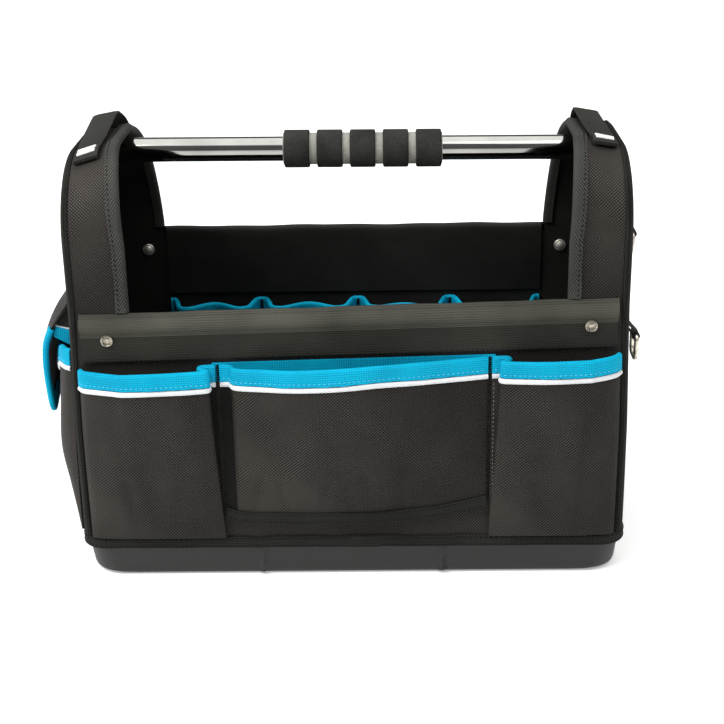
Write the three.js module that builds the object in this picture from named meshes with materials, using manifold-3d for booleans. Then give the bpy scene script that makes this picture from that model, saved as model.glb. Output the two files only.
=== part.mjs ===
// Open tool tote: a moulded tray carries a cloth body whose two ends rise into arches,
// and a steel tube with a foam grip joins the arches as the carrying handle.
// Millimetres; +X is right seen from the front, +Y is the back, +Z is up.
// The origin is the middle of the tray's underside.
import * as THREE from "three";
import { mergeVertices } from "three/addons/utils/BufferGeometryUtils.js";
import Module from "manifold-3d";

const wasm = await Module();
wasm.setup();

// Body and cloth
const HALF_LENGTH = 239;
const HALF_DEPTH = 125;
const CLOTH = 2.4;
const POCKET_CLOTH = 2;
const TAPE = 1.2;
const GAP = 0.3;
const WALL_FOOT = 34;
const STRIP_FOOT = 252;
const FOOT_FLARE = 6.3;
const FLARE_TOP = 251.7;
const ARCH_TOP = 385;
const ARCH_FRONT = 70;
const ARCH_BACK = 118;
const ARCH_STEPS = 5;
const LEG_LEVELS = [56, 100, 150, 210, 250];
const TOP_LEVELS = [-34, -14];
const END_BULGE = 16.5;

// The upright corner seam, rounder at the tray than above
const SEAM_RADIUS = 8;
const SEAM_RADIUS_FOOT = 20;
const SEAM_LEVEL = 150;
const SEAM_TURN = THREE.MathUtils.degToRad(45);
const SEAM_REACH_FRONT = 5.5;
const SEAM_REACH_END = 9;
const SEAM_TAPE = 2;
const SEAM_TAPE_GAP = 0.5;
const SEAM_SPLIT = THREE.MathUtils.degToRad(1.5);

// Arch strips: around is the turn from the front over the top, where the inner edge leans and lifts
const STRIP_INNER = 189.3;
const STRIP_EDGE = [
  { around: 0, lean: 0, lift: 0 },
  { around: 36, lean: 2.5, lift: 10 },
  { around: 60, lean: 5, lift: 12 },
  { around: 80, lean: 7, lift: 8.5 },
  { around: 90, lean: 9, lift: 5.5 },
  { around: 106, lean: 10.5, lift: 0.5 },
  { around: 150, lean: 7, lift: 1 },
  { around: 180, lean: 3, lift: 0 },
];
const STRIP_FLAT = HALF_LENGTH - SEAM_RADIUS - 4;
const ARCH_TAPE_FACE = 12;
const ARCH_TAPE_BACK = 9;
const ARCH_TAPE_GAP = 0.8;
const ARCH_TAPE_LOOSE = 1;

// Tray and its tape
const TRAY_HALF_LENGTH = 243.4;
const TRAY_HALF_DEPTH = 123.2;
const TRAY_CORNER = 20;
const TRAY_ROUNDER = 2.5;
const TRAY_OUTSIDE = [
  { level: 0, inset: 5.5 },
  { level: 3, inset: 2 },
  { level: 33, inset: 0 },
];
const TRAY_INSIDE = [
  { level: 3.5, inset: 8 },
  { level: 8, inset: 4.5 },
  { level: 34, inset: 3 },
];
const RIB_X = 82;
const RIB_WIDTH = 5;
const RIB_STAND = 1.5;
const RIB_TOP = 28;
const BASE_TAPE_LEVELS = [29.5, 41];
const BASE_TAPE = 2;
const BASE_TAPE_GAP = 0.5;
const SEAM_FOOT = 41.4;

// Rim bands: webbing rolled over the rim; the front one hangs a little to the left
const FRONT_SLANT = 5.2;
const BAND_END = 231;
const BAND_FOLD_END = 184.5;
const BAND_OUTSIDE = [
  { out: 2.3, level: 217 },
  { out: 2.3, level: 244 },
  { out: 4.6, level: 249 },
  { out: 5, level: 254 },
  { out: 3.4, level: 258.8 },
  { out: 0.3, level: 260.6 },
];
const BAND_FOLD = [
  { out: -3.2, level: 260 },
  { out: -4.8, level: 256.5 },
  { out: -4.8, level: 236 },
  { out: -2.7, level: 236 },
  { out: -2.7, level: 256 },
  { out: -1, level: 258.4 },
  { out: 1.8, level: 257.4 },
  { out: 2.8, level: 253.6 },
  { out: 2.4, level: 250 },
  { out: 0.3, level: 245.6 },
  { out: 0.3, level: 217 },
];

// Rivets, as a turned profile measured from the wall's face outwards
const RIVET_X = 208;
const RIVET_LEVEL = 237;
const RIVET_HOLE = 3.2;
const RIVET_PROFILE = [
  { radius: 0, out: 3.5 },
  { radius: 3.5, out: 3.5 },
  { radius: 4.4, out: 4.4 },
  { radius: 5.6, out: 3.5 },
  { radius: 5.6, out: 2.6 },
  { radius: 2.8, out: 2.6 },
  { radius: 2.8, out: -2.7 },
  { radius: 5.2, out: -2.7 },
  { radius: 4.2, out: -5.2 },
  { radius: 0, out: -6.6 },
];

// Handle
const TUBE_LEVEL = 369;
const TUBE_RADIUS = 11.1;
const TUBE_WALL = 1.3;
const TUBE_HALF = 232;
const SOCKET_RADIUS = 12.6;
const SOCKET_PLATE = 3;
const SOCKET_DEPTH = 15;
const SOCKET_DROP = 24;
const SOCKET_TOP = 8;
const GRIP_MIDDLE = 13;
const GRIP_CORE_RADIUS = 14.2;
const GRIP_RADIUS = 17;
const GRIP_RINGS = 5;
const GRIP_RING = 23;
const GRIP_GROOVE = 6.7;

// Straps raised over the arches
const STRAPS = {
  left: { start: 62, middle: 217.5, rise: 12 },
  right: { start: 70, middle: 212.5, rise: 8.5 },
};
const STRAP_END = 50;
const STRAP_END_MIDDLE = 219.5;
const STRAP_WIDTH = 22;
const STRAP_THICK = 1.8;
const STRAP_STAND = ARCH_TAPE_GAP + TAPE + 2 * GAP;
const STRAP_SPAN_FRONT = 66;
const STRAP_SPAN_BACK = 83;

// Pockets: along runs from one side seam to the other, out is how far the cloth stands off its wall
const POCKET_FOOT = 41.6;
const POCKET_RIM = 210.5;
const POCKET_TAPE_FACE = 13.5;
const POCKET_TAPE_BACK = 9;
const PIPING = 4.6;
const TRIM_GAP = 0.5;
const POCKET_STAND = 2 * GAP + TAPE + POCKET_CLOTH;
const FRONT_POCKETS = [
  {
    name: "front_left_pocket",
    from: null,
    to: -116,
    plan: [
      { along: 0, out: 0 },
      { along: 0.03, out: 9 },
      { along: 0.12, out: 15 },
      { along: 0.4, out: 19 },
      { along: 0.7, out: 18 },
      { along: 0.88, out: 15.5 },
      { along: 0.95, out: 12 },
      { along: 0.975, out: 5 },
      { along: 1, out: 0 },
    ],
  },
  {
    name: "front_centre_pocket",
    from: -112,
    to: 120,
    plan: [
      { along: 0, out: 0 },
      { along: 0.04, out: 2 },
      { along: 0.07, out: 9 },
      { along: 0.14, out: 15 },
      { along: 0.3, out: 21 },
      { along: 0.55, out: 17 },
      { along: 0.8, out: 8 },
      { along: 0.95, out: 2 },
      { along: 1, out: 0 },
    ],
  },
  {
    name: "front_right_pocket",
    from: 124,
    to: null,
    plan: [
      { along: 0, out: 0 },
      { along: 0.03, out: 5 },
      { along: 0.06, out: 11 },
      { along: 0.12, out: 14.5 },
      { along: 0.35, out: 18 },
      { along: 0.65, out: 17 },
      { along: 0.9, out: 12 },
      { along: 0.97, out: 6 },
      { along: 1, out: 0 },
    ],
  },
];
const FRONT_FULLNESS = [
  { up: 0, full: 0.12 },
  { up: 0.3, full: 0.5 },
  { up: 0.7, full: 0.9 },
  { up: 1, full: 1 },
];
const CENTRE_FOOT = 57;
const CENTRE_FOOT_RISE = [
  { along: 0, rise: 4 },
  { along: 0.06, rise: 1.2 },
  { along: 0.2, rise: 0 },
  { along: 0.5, rise: 0 },
  { along: 0.75, rise: 3 },
  { along: 0.88, rise: 8 },
  { along: 1, rise: 14 },
];
const HEM = 11;
const BACKING = { from: -100, to: 94, foot: 196, rim: 213 };
const INNER_DIVIDERS = [-188, -95, 3.5, 97, 188];
const INNER_FOOT = 62;
const INNER_RIM = 184.5;
const INNER_MIDDLES = [16, 17, 23, 24];
const INNER_SIDE = [
  { along: 0, out: 0 },
  { along: 0.035, out: 0.4 },
  { along: 0.075, out: 11 },
  { along: 0.12, out: 26 },
  { along: 0.22, out: 30 },
];
const INNER_ROWS = [0, 0.85, 1];
const END_RIM = 199;
const END_RIM_RISE = 19;
const END_PLAN = [
  { along: 0, out: 0 },
  { along: 0.02, out: 7 },
  { along: 0.07, out: 13 },
  { along: 0.25, out: 16 },
  { along: 0.5, out: 17 },
  { along: 0.75, out: 16 },
  { along: 0.93, out: 13 },
  { along: 0.98, out: 7 },
  { along: 1, out: 0 },
];
const END_FULLNESS = [
  { up: 0, full: 0.15 },
  { up: 0.08, full: 0.42 },
  { up: 0.25, full: 0.81 },
  { up: 0.45, full: 1.16 },
  { up: 0.72, full: 0.99 },
  { up: 1, full: 0.78 },
];
const END_ROWS = [0, 0.08, 0.25, 0.45, 0.72, 1];

// Flap over the end pocket, as its fall from the wall
const FLAP_HALF = 62;
const FLAP_CORNER = 12;
const FLAP_TAPE = 8;
const FLAP_TAPE_GAP = 0.6;
const FLAP_KNEE = 84;
const FLAP_FALL = [
  { out: 4.6, level: 252 },
  { out: 10, level: 241 },
  { out: 22, level: 222 },
  { out: 29.3, level: 204 },
  { out: 31.3, level: 184 },
  { out: 31, level: 160 },
  { out: 29.7, level: 137 },
];

// Gusset at each side of the flap, between the end wall and the flap
const GUSSET_Y = 57;
const GUSSET = [
  { out: 0.9, level: 245 },
  { out: 4.4, level: 245 },
  { out: 7.2, level: 239.5 },
  { out: 17.4, level: 219.6 },
  { out: 20.6, level: 210.3 },
  { out: 0.9, level: 204.5 },
];

// Rings on webbing tabs
const RING_X = 259;
const RING_LEVEL = 287;
const TOOL_RING_X = 267;
const TOOL_RING_LEVEL = 187;
const RING_HALF = 13;
const RING_DROP = 19;
const RING_BOTTOM_ROUND = 12.9;
const TOOL_RING_DROP = 23;
const TOOL_RING_BOTTOM_ROUND = 7;
const RING_TOP_ROUND = 3.5;
const RING_WIRE = 1.6;
const TAB_HALF_WIDTH = 8.5;
const TAB_THICK = 1.6;
const TAB_HOLE = 2.5;
const TAB_FALL = 24;
const TAB_SEWN = 14;

// Colours
const BLACK_CLOTH = 0x1c1b1a;
const BLACK_TAPE = 0x141414;
const BAND_WEBBING = 0x2f2e2a;
const BLUE = 0x0a93c4;
const PALE = 0xd6d9da;
const TRAY_GREY = 0x3a3b3c;
const CHROME = 0xc9ccce;
const STEEL = 0xa9a69c;
const FOAM = 0x17171a;
const GROOVE_GREY = 0x8d8c85;

const lerp = THREE.MathUtils.lerp;
const point = (x, y, z) => new THREE.Vector3(x, y, z);
const UP = point(0, 0, 1);

// A short table read as a smooth curve of its two named columns.
function tableCurve(table, across, value, scale = 1) {
  const points = table.map((row) => point(row[across] * scale, row[value], 0));
  return new THREE.CatmullRomCurve3(points, false, "centripetal");
}

// A short table read with straight lines between its rows.
function tableValue(table, across, value, at) {
  const after = table.findIndex((row) => row[across] >= at);
  if (after <= 0) {
    return after === 0 ? table[0][value] : table[table.length - 1][value];
  }
  const [low, high] = [table[after - 1], table[after]];
  return lerp(low[value], high[value], (at - low[across]) / (high[across] - low[across]));
}

// A closed geometry with its faces turned outwards.
function facingOut(positions, triangles) {
  let volume = 0;
  const corner = (i) => new THREE.Vector3().fromArray(positions, 3 * i);
  for (let i = 0; i < triangles.length; i += 3) {
    const [a, b, c] = [0, 1, 2].map((k) => corner(triangles[i + k]));
    volume += a.dot(b.cross(c));
  }
  if (volume < 0) {
    triangles.reverse();
  }
  const geometry = new THREE.BufferGeometry();
  geometry.setAttribute("position", new THREE.Float32BufferAttribute(positions, 3));
  geometry.setIndex(triangles);
  return geometry;
}

// A closed skin between a face grid and a back grid of the same rows and columns.
function skin(face, back, ring = false) {
  const rows = face.length;
  const columns = face[0].length;
  const positions = [...face.flat(), ...back.flat()].flatMap((p) => [p.x, p.y, p.z]);
  const triangles = [];
  const at = (side, row, column) => side * rows * columns + (row % rows) * columns + column;
  const quad = (a, b, c, d) => triangles.push(a, b, c, a, c, d);
  const last = columns - 1;
  for (let r = 0; r < (ring ? rows : rows - 1); r++) {
    for (let c = 0; c < last; c++) {
      quad(at(0, r, c), at(0, r, c + 1), at(0, r + 1, c + 1), at(0, r + 1, c));
      quad(at(1, r, c), at(1, r + 1, c), at(1, r + 1, c + 1), at(1, r, c + 1));
    }
    quad(at(0, r, 0), at(0, r + 1, 0), at(1, r + 1, 0), at(1, r, 0));
    quad(at(0, r, last), at(1, r, last), at(1, r + 1, last), at(0, r + 1, last));
  }
  for (let c = 0; c < (ring ? 0 : last); c++) {
    quad(at(0, 0, c), at(1, 0, c), at(1, 0, c + 1), at(0, 0, c + 1));
    quad(at(0, rows - 1, c), at(0, rows - 1, c + 1), at(1, rows - 1, c + 1), at(1, rows - 1, c));
  }
  return facingOut(positions, triangles);
}

// The way out of a grid's face at each of its points.
function gridNormals(grid, ring) {
  const rows = grid.length;
  const last = grid[0].length - 1;
  return grid.map((row, r) =>
    row.map((_, c) => {
      const along = row[Math.min(c + 1, last)].clone().sub(row[Math.max(c - 1, 0)]);
      const next = ring ? (r + 1) % rows : Math.min(r + 1, rows - 1);
      const previous = ring ? (r + rows - 1) % rows : Math.max(r - 1, 0);
      const across = grid[next][c].clone().sub(grid[previous][c]);
      return along.cross(across).normalize();
    }),
  );
}

// A sheet of cloth or tape between two heights over a grid.
function slab(grid, low, high, ring = false) {
  const normals = gridNormals(grid, ring);
  const raised = (height) =>
    grid.map((row, r) => row.map((p, c) => p.clone().addScaledVector(normals[r][c], height)));
  return skin(raised(high), raised(low), ring);
}

// A tape folded over a cloth edge: at each station at is the edge on the cloth's face,
// edge points out of the edge and face out of the face.
function foldedTape(stations, cloth, faceLeg, backLeg, gap = GAP) {
  const outline = (h) => [
    [-faceLeg, h],
    [h, h],
    [h, -cloth - h],
    [-backLeg, -cloth - h],
  ];
  const placed = (h) =>
    stations.map((s) =>
      outline(h).map(([e, f]) => s.at.clone().addScaledVector(s.edge, e).addScaledVector(s.face, f)),
    );
  return skin(placed(gap + TAPE), placed(gap));
}

// A solid of revolution from a profile with a radius and a place along its axis, Y.
function lathe(profile, segments) {
  const outline = profile.map(([radius, along]) => new THREE.Vector2(radius, along));
  return closed(new THREE.LatheGeometry(outline, segments));
}

// A geometry with its seams joined and its slivers dropped.
function closed(geometry) {
  const bare = geometry.clone();
  bare.deleteAttribute("uv");
  bare.deleteAttribute("normal");
  const merged = mergeVertices(bare, 1e-4);
  const index = merged.index.array;
  const triangles = [];
  for (let i = 0; i < index.length; i += 3) {
    const [a, b, c] = [index[i], index[i + 1], index[i + 2]];
    if (a !== b && b !== c && c !== a) {
      triangles.push(a, b, c);
    }
  }
  return facingOut(Array.from(merged.attributes.position.array), triangles);
}

function toSolid(geometry) {
  const whole = closed(geometry);
  const mesh = new wasm.Mesh({
    numProp: 3,
    vertProperties: new Float32Array(whole.attributes.position.array),
    triVerts: new Uint32Array(whole.index.array),
  });
  return new wasm.Manifold(mesh);
}

function fromSolid(solid) {
  const mesh = solid.getMesh();
  return facingOut(Array.from(mesh.vertProperties), Array.from(mesh.triVerts));
}

// A shape drawn in Y and Z, drawn out along X from one place to another.
function drawnAlongX(outline, from, to) {
  const shape = new THREE.Shape(outline.map(([y, z]) => new THREE.Vector2(y, z)));
  const geometry = new THREE.ExtrudeGeometry(shape, { depth: to - from, bevelEnabled: false });
  const turn = new THREE.Matrix4().makeBasis(point(0, 1, 0), UP, point(1, 0, 0));
  return geometry.applyMatrix4(turn).translate(from, 0, 0);
}

// A rounded rectangle at one level, as a ring of points.
function roundedRing(halfX, halfY, radius, level, steps = 5) {
  const ring = [];
  for (let quarter = 0; quarter < 4; quarter++) {
    const sideX = quarter === 0 || quarter === 3 ? 1 : -1;
    const sideY = quarter < 2 ? 1 : -1;
    for (let i = 0; i <= steps; i++) {
      const turn = ((quarter + i / steps) * Math.PI) / 2;
      const x = sideX * (halfX - radius) + radius * Math.cos(turn);
      const y = sideY * (halfY - radius) + radius * Math.sin(turn);
      ring.push(point(x, y, level));
    }
  }
  return ring;
}

// A solid through rings of points, closed by a fan at each end.
function loft(rings) {
  const count = rings[0].length;
  const positions = rings.flat().flatMap((p) => [p.x, p.y, p.z]);
  const triangles = [];
  for (let r = 0; r < rings.length - 1; r++) {
    for (let i = 0; i < count; i++) {
      const next = (i + 1) % count;
      const [a, b] = [r * count + i, r * count + next];
      triangles.push(a, b, b + count, a, b + count, a + count);
    }
  }
  const lid = (rings.length - 1) * count;
  for (let i = 1; i < count - 1; i++) {
    triangles.push(0, i + 1, i);
    triangles.push(lid, lid + i, lid + i + 1);
  }
  return facingOut(positions, triangles);
}

// Walls: the corner's rounding by height, and the faces that the pockets stand on.
function seamRadius(level) {
  const share = THREE.MathUtils.clamp((level - WALL_FOOT) / (SEAM_LEVEL - WALL_FOOT), 0, 1);
  return lerp(SEAM_RADIUS_FOOT, SEAM_RADIUS, share);
}

// Half the body's length: the ends widen from the rim down to the tray.
function halfLength(level) {
  const share = THREE.MathUtils.clamp((FLARE_TOP - level) / (FLARE_TOP - WALL_FOOT), 0, 1);
  return HALF_LENGTH + FOOT_FLARE * share;
}

// How far the seam tape's edge lies in from a wall's outer corner.
function seamInset(level, reach) {
  const radius = seamRadius(level);
  const arc = radius * SEAM_TURN;
  return reach < arc ? radius - radius * Math.sin(SEAM_TURN - reach / radius) : radius + reach - arc;
}

function cornerDrop(beyond, radius) {
  return beyond <= 0 ? 0 : radius - Math.sqrt(Math.max(0, radius * radius - beyond * beyond));
}

function frontFace(x, level) {
  const radius = seamRadius(level);
  return -HALF_DEPTH + cornerDrop(Math.abs(x) - (halfLength(level) - radius), radius);
}

function endHalfWidth(y, level) {
  const radius = y < 0 ? ARCH_FRONT : ARCH_BACK;
  return HALF_DEPTH - cornerDrop(level - (ARCH_TOP - radius), radius);
}

function endBulge(y, level) {
  const up = THREE.MathUtils.clamp((level - WALL_FOOT) / (ARCH_TOP - WALL_FOOT), 0, 1);
  const side = Math.min(1, Math.abs(y) / (endHalfWidth(y, level) - SEAM_RADIUS - 4));
  return END_BULGE * (1 - side * side) ** 2 * (4 * up * (1 - up)) ** 2;
}

function endFace(y, level) {
  const radius = seamRadius(level);
  return halfLength(level) - cornerDrop(Math.abs(y) - (HALF_DEPTH - radius), radius) + endBulge(y, level);
}

const slant = (x) => (FRONT_SLANT * x) / HALF_LENGTH;

// A quarter of the arch: stations on the front or the back shoulder at turns from level to upright.
function shoulder(radius, sign, turns) {
  return turns.map((turn) => {
    const [ny, nz] = [sign * Math.cos(turn), Math.sin(turn)];
    const y = sign * (HALF_DEPTH - radius) + radius * ny;
    return { y, z: ARCH_TOP - radius + radius * nz, ny, nz };
  });
}

const crown = (y) => ({ y, z: ARCH_TOP, ny: 0, nz: 1 });

// The end outline seen along X: stations up the front, over the arch and down the back.
function endStations(frontFoot, backFoot) {
  const turns = Array.from({ length: ARCH_STEPS + 1 }, (_, i) => ((i / ARCH_STEPS) * Math.PI) / 2);
  const half = (foot, radius, sign) => {
    const levels = [foot, ...LEG_LEVELS.filter((level) => level > foot + 4)];
    const leg = levels.map((z) => ({ y: sign * HALF_DEPTH, z, ny: sign, nz: 0 }));
    return [...leg, ...shoulder(radius, sign, turns)];
  };
  const back = half(backFoot, ARCH_BACK, 1).reverse();
  return [...half(frontFoot, ARCH_FRONT, -1), ...TOP_LEVELS.map(crown), ...back];
}

const outOf = (station) => point(0, station.ny, station.nz);

// A point of the rounded corner: turn 0 faces out of the strip, a quarter turn faces out of the end.
function cornerPoint(station, turn, radius = seamRadius(station.z)) {
  const centre = point(halfLength(station.z) - radius, station.y, station.z).addScaledVector(outOf(station), -radius);
  const across = point(radius * Math.sin(turn), 0, 0);
  return centre.add(across).addScaledVector(outOf(station), radius * Math.cos(turn));
}

function stripEdge(station) {
  const around = THREE.MathUtils.radToDeg(Math.atan2(station.nz, -station.ny));
  const [lean, lift] = ["lean", "lift"].map((column) => tableValue(STRIP_EDGE, "around", column, around));
  return { inner: STRIP_INNER + lean, lift };
}

function stripAt(station, x) {
  const { inner, lift } = stripEdge(station);
  const rise = (lift * (STRIP_FLAT - x)) / (STRIP_FLAT - inner);
  return point(x, station.y, station.z).addScaledVector(outOf(station), rise);
}

const QUARTER = Math.PI / 2;

// The part of the strip under its edge tape.
const stripRim = (s) => [0, ARCH_TAPE_FACE].map((x) => stripAt(s, stripEdge(s).inner + x));

function archStrip() {
  const grid = endStations(STRIP_FOOT, STRIP_FOOT).map((s) => [
    ...stripRim(s),
    stripAt(s, STRIP_FLAT),
    cornerPoint(s, 0),
    cornerPoint(s, SEAM_TURN - 5 * SEAM_SPLIT),
    cornerPoint(s, SEAM_TURN - 2 * SEAM_SPLIT),
  ]);
  return slab(grid, -CLOTH, 0);
}

function archTape(frontFoot, backFoot) {
  const rims = endStations(frontFoot, backFoot).map(stripRim);
  const normals = gridNormals(rims, false);
  const stations = rims.map(([at, leg], i) => {
    const edge = at.clone().sub(leg).normalize();
    return { at, edge, face: normals[i][0] };
  });
  const cloth = CLOTH + ARCH_TAPE_LOOSE;
  return foldedTape(stations.reverse(), cloth, ARCH_TAPE_FACE, ARCH_TAPE_BACK, ARCH_TAPE_GAP);
}

function endWall() {
  const outline = endStations(WALL_FOOT, WALL_FOOT);
  const rows = LEG_LEVELS.length + 1 + ARCH_STEPS + 1;
  const shares = [0, 0.02, 0.22, 0.5, 0.78, 0.98, 1];
  const edge = (s) => [2, 5].map((splits) => cornerPoint(s, SEAM_TURN + splits * SEAM_SPLIT));
  const grid = Array.from({ length: rows }, (_, r) => {
    const [front, back] = [outline[r], outline[outline.length - 1 - r]];
    const [from, to] = [front, back].map((s) => cornerPoint(s, QUARTER));
    const across = shares.map((share) => {
      const at = from.clone().lerp(to, share);
      return at.setX(halfLength(at.z) + endBulge(at.y, at.z));
    });
    return [...edge(front), ...across, ...edge(back).reverse()];
  });
  return slab(grid, -CLOTH, 0);
}

function seamTape() {
  const shares = [-1, -0.35, 0.2, 0.6, 1];
  const grid = endStations(SEAM_FOOT, SEAM_FOOT).map((s) => {
    const radius = seamRadius(s.z);
    return shares.map((share) => {
      const reach = share * (share < 0 ? SEAM_REACH_FRONT : SEAM_REACH_END);
      const turn = SEAM_TURN + reach / radius;
      const over = Math.max(0, turn - QUARTER) * radius;
      return cornerPoint(s, Math.min(turn, QUARTER), radius).addScaledVector(outOf(s), -over);
    });
  });
  return slab(grid, SEAM_TAPE_GAP, SEAM_TAPE_GAP + SEAM_TAPE);
}

function longWall(holes) {
  const turns = [SEAM_TURN - 2 * SEAM_SPLIT, SEAM_TURN - 5 * SEAM_SPLIT, SEAM_TURN / 2, 0];
  const levels = [WALL_FOOT, LEG_LEVELS[1], LEG_LEVELS[2], STRIP_FOOT - GAP];
  const grid = levels.map((z) => {
    const right = turns.map((t) => cornerPoint({ y: -HALF_DEPTH, z, ny: -1, nz: 0 }, t));
    const left = right.map((p) => point(-p.x, p.y, p.z));
    return [...left, point(0, -HALF_DEPTH, z), ...right.reverse()];
  });
  const wall = toSolid(slab(grid, -CLOTH, 0));
  return fromSolid(holes.reduce((solid, hole) => solid.subtract(hole), wall));
}

function rivetHole(x, level) {
  const drill = new THREE.CylinderGeometry(RIVET_HOLE, RIVET_HOLE, 40, 8);
  return toSolid(drill.translate(x, -HALF_DEPTH, level));
}

function band(holes, slope) {
  const place = ({ out, level }) => [-HALF_DEPTH - out, level];
  const closedBand = [...BAND_OUTSIDE, { out: 0.3, level: 217 }].map(place);
  const foldedBand = [...BAND_OUTSIDE, ...BAND_FOLD].map(place);
  const left = toSolid(drawnAlongX(closedBand, -BAND_END, -BAND_FOLD_END));
  const right = toSolid(drawnAlongX(closedBand, BAND_FOLD_END, BAND_END));
  const middle = toSolid(drawnAlongX(foldedBand, -BAND_FOLD_END, BAND_FOLD_END));
  const whole = fromSolid(left.add(middle).add(right));
  const lean = new THREE.Matrix4().set(1, 0, 0, 0, 0, 1, 0, 0, slope, 0, 1, 0, 0, 0, 0, 1);
  whole.applyMatrix4(lean);
  return fromSolid(holes.reduce((solid, hole) => solid.subtract(hole), toSolid(whole)));
}

function rivet(x, level) {
  const profile = RIVET_PROFILE.map(({ radius, out }) => [radius, -HALF_DEPTH - out]);
  return lathe(profile, 8).translate(x, 0, level);
}

// Tray: a drafted tub with a rounded foot, and ribs up its long sides.
function tray() {
  const tub = (table, stand = 0) => {
    const rings = table.map(({ level, inset }) => {
      const [x, y] = [TRAY_HALF_LENGTH, TRAY_HALF_DEPTH].map((half) => half - inset + stand);
      return roundedRing(x, y, TRAY_CORNER + TRAY_ROUNDER * inset, level);
    });
    return toSolid(loft(rings));
  };
  let solid = tub(TRAY_OUTSIDE);
  const ribbed = tub(TRAY_OUTSIDE, RIB_STAND);
  for (const x of [-RIB_X, RIB_X]) {
    const rib = new THREE.BoxGeometry(RIB_WIDTH, 3 * HALF_DEPTH, RIB_TOP);
    solid = solid.add(toSolid(rib.translate(x, 0, RIB_TOP / 2)).intersect(ribbed));
  }
  return fromSolid(solid.subtract(tub(TRAY_INSIDE)));
}

function baseTape() {
  const rings = BASE_TAPE_LEVELS.map((z) => roundedRing(halfLength(z), HALF_DEPTH, seamRadius(z), z, 6));
  const grid = rings[0].map((_, i) => rings.map((ring) => ring[i]));
  const outwards = gridNormals(grid, true)[0][0].x > 0 ? 1 : -1;
  return slab(grid, outwards * BASE_TAPE_GAP, outwards * (BASE_TAPE_GAP + BASE_TAPE), true);
}

// A pocket row by row: surface(along, level, out) is a point standing off the pocket's wall.
function pocket({ from, to, foot, rim, plan, fullness, surface, samples }) {
  const width = 110;
  const corners = plan.map(({ along, out }) => point(along * width, out, 0));
  const curve = samples ? tableCurve(plan, "along", "out", width).getSpacedPoints(samples) : corners;
  const height = (along) => rim(along) - foot(along);
  const rowOf = (share) =>
    curve.map((p) => {
      const along = p.x / width;
      const up = share(along);
      const z = lerp(foot(along), rim(along), up);
      const out = POCKET_STAND + p.y * tableValue(fullness, "up", "full", up);
      return surface(lerp(from(z), to(z), along), z, out);
    });
  return {
    row: (up) => rowOf(() => up),
    below: (drop) => rowOf((along) => 1 - drop / height(along)),
    above: (rise) => rowOf((along) => rise / height(along)),
  };
}

const ROWS = [0, 0.3, 0.7, 1];

const pocketBody = (shape, ups) => slab(ups.map(shape.row), -POCKET_CLOTH, 0);

function pocketTape(shape, rows = ROWS) {
  const [below, rim] = rows.slice(-2).map(shape.row);
  const normals = gridNormals([below, rim], false)[1];
  const stations = rim.map((at, i) => {
    const edge = at.clone().sub(below[i]).normalize();
    return { at, edge, face: normals[i] };
  });
  return foldedTape(stations, POCKET_CLOTH, POCKET_TAPE_FACE, POCKET_TAPE_BACK);
}

function pocketPiping(shape) {
  const top = POCKET_TAPE_FACE + 2 * GAP;
  return slab([top + PIPING, top].map(shape.below), TRIM_GAP, TRIM_GAP + TAPE);
}

function frontPocket({ from, to, plan, name }) {
  const seam = (z) => halfLength(z) - seamInset(z, SEAM_REACH_FRONT) - 1.2;
  const left = from === null ? (z) => -seam(z) : () => from;
  const right = to === null ? seam : () => to;
  const middle = name === "front_centre_pocket";
  const place = (along) => lerp(left(POCKET_RIM), right(POCKET_RIM), along);
  const foot = middle
    ? (along) => CENTRE_FOOT + tableValue(CENTRE_FOOT_RISE, "along", "rise", along)
    : () => POCKET_FOOT;
  return pocket({
    from: left,
    to: right,
    foot,
    rim: (along) => POCKET_RIM + slant(place(along)),
    plan,
    fullness: FRONT_FULLNESS,
    surface: (x, z, out) => point(x, frontFace(x, z) - out, z),
    samples: middle ? 17 : 13,
  });
}

function endPocket() {
  const seam = (z) => HALF_DEPTH - seamInset(z, SEAM_REACH_END) - 1.2;
  return pocket({
    from: (z) => -seam(z),
    to: seam,
    foot: () => POCKET_FOOT,
    rim: (along) => END_RIM + END_RIM_RISE * (1 - THREE.MathUtils.smoothstep(Math.min(along, 1 - along), 0.04, 0.24)),
    plan: END_PLAN,
    fullness: END_FULLNESS,
    surface: (y, z, out) => point(endFace(y, z) + out, y, z),
    samples: 14,
  });
}

// One inner pocket's plan: it leaves its seam, swells on both sides and falls back in the middle.
function innerPlan(middle) {
  const far = INNER_SIDE.map(({ along, out }) => ({ along: 1 - along, out })).reverse();
  return [...INNER_SIDE, { along: 0.5, out: middle }, ...far];
}

function innerPockets() {
  const rows = INNER_DIVIDERS.slice(0, -1).map((from, i) =>
    pocket({
      from: () => from,
      to: () => INNER_DIVIDERS[i + 1],
      foot: () => INNER_FOOT,
      rim: () => INNER_RIM,
      plan: innerPlan(INNER_MIDDLES[i]),
      fullness: FRONT_FULLNESS,
      surface: (x, z, out) => point(x, HALF_DEPTH - CLOTH - out, z),
    }),
  );
  const row = (up) => rows.flatMap((shape, i) => shape.row(up).slice(i === 0 ? 0 : 1));
  return { row };
}

function backing() {
  const { from, to, foot, rim } = BACKING;
  const grid = [foot, rim].map((z) => [from, to].map((x) => point(x, -HALF_DEPTH, z + slant(x))));
  return slab(grid, GAP, GAP + TAPE);
}

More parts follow.
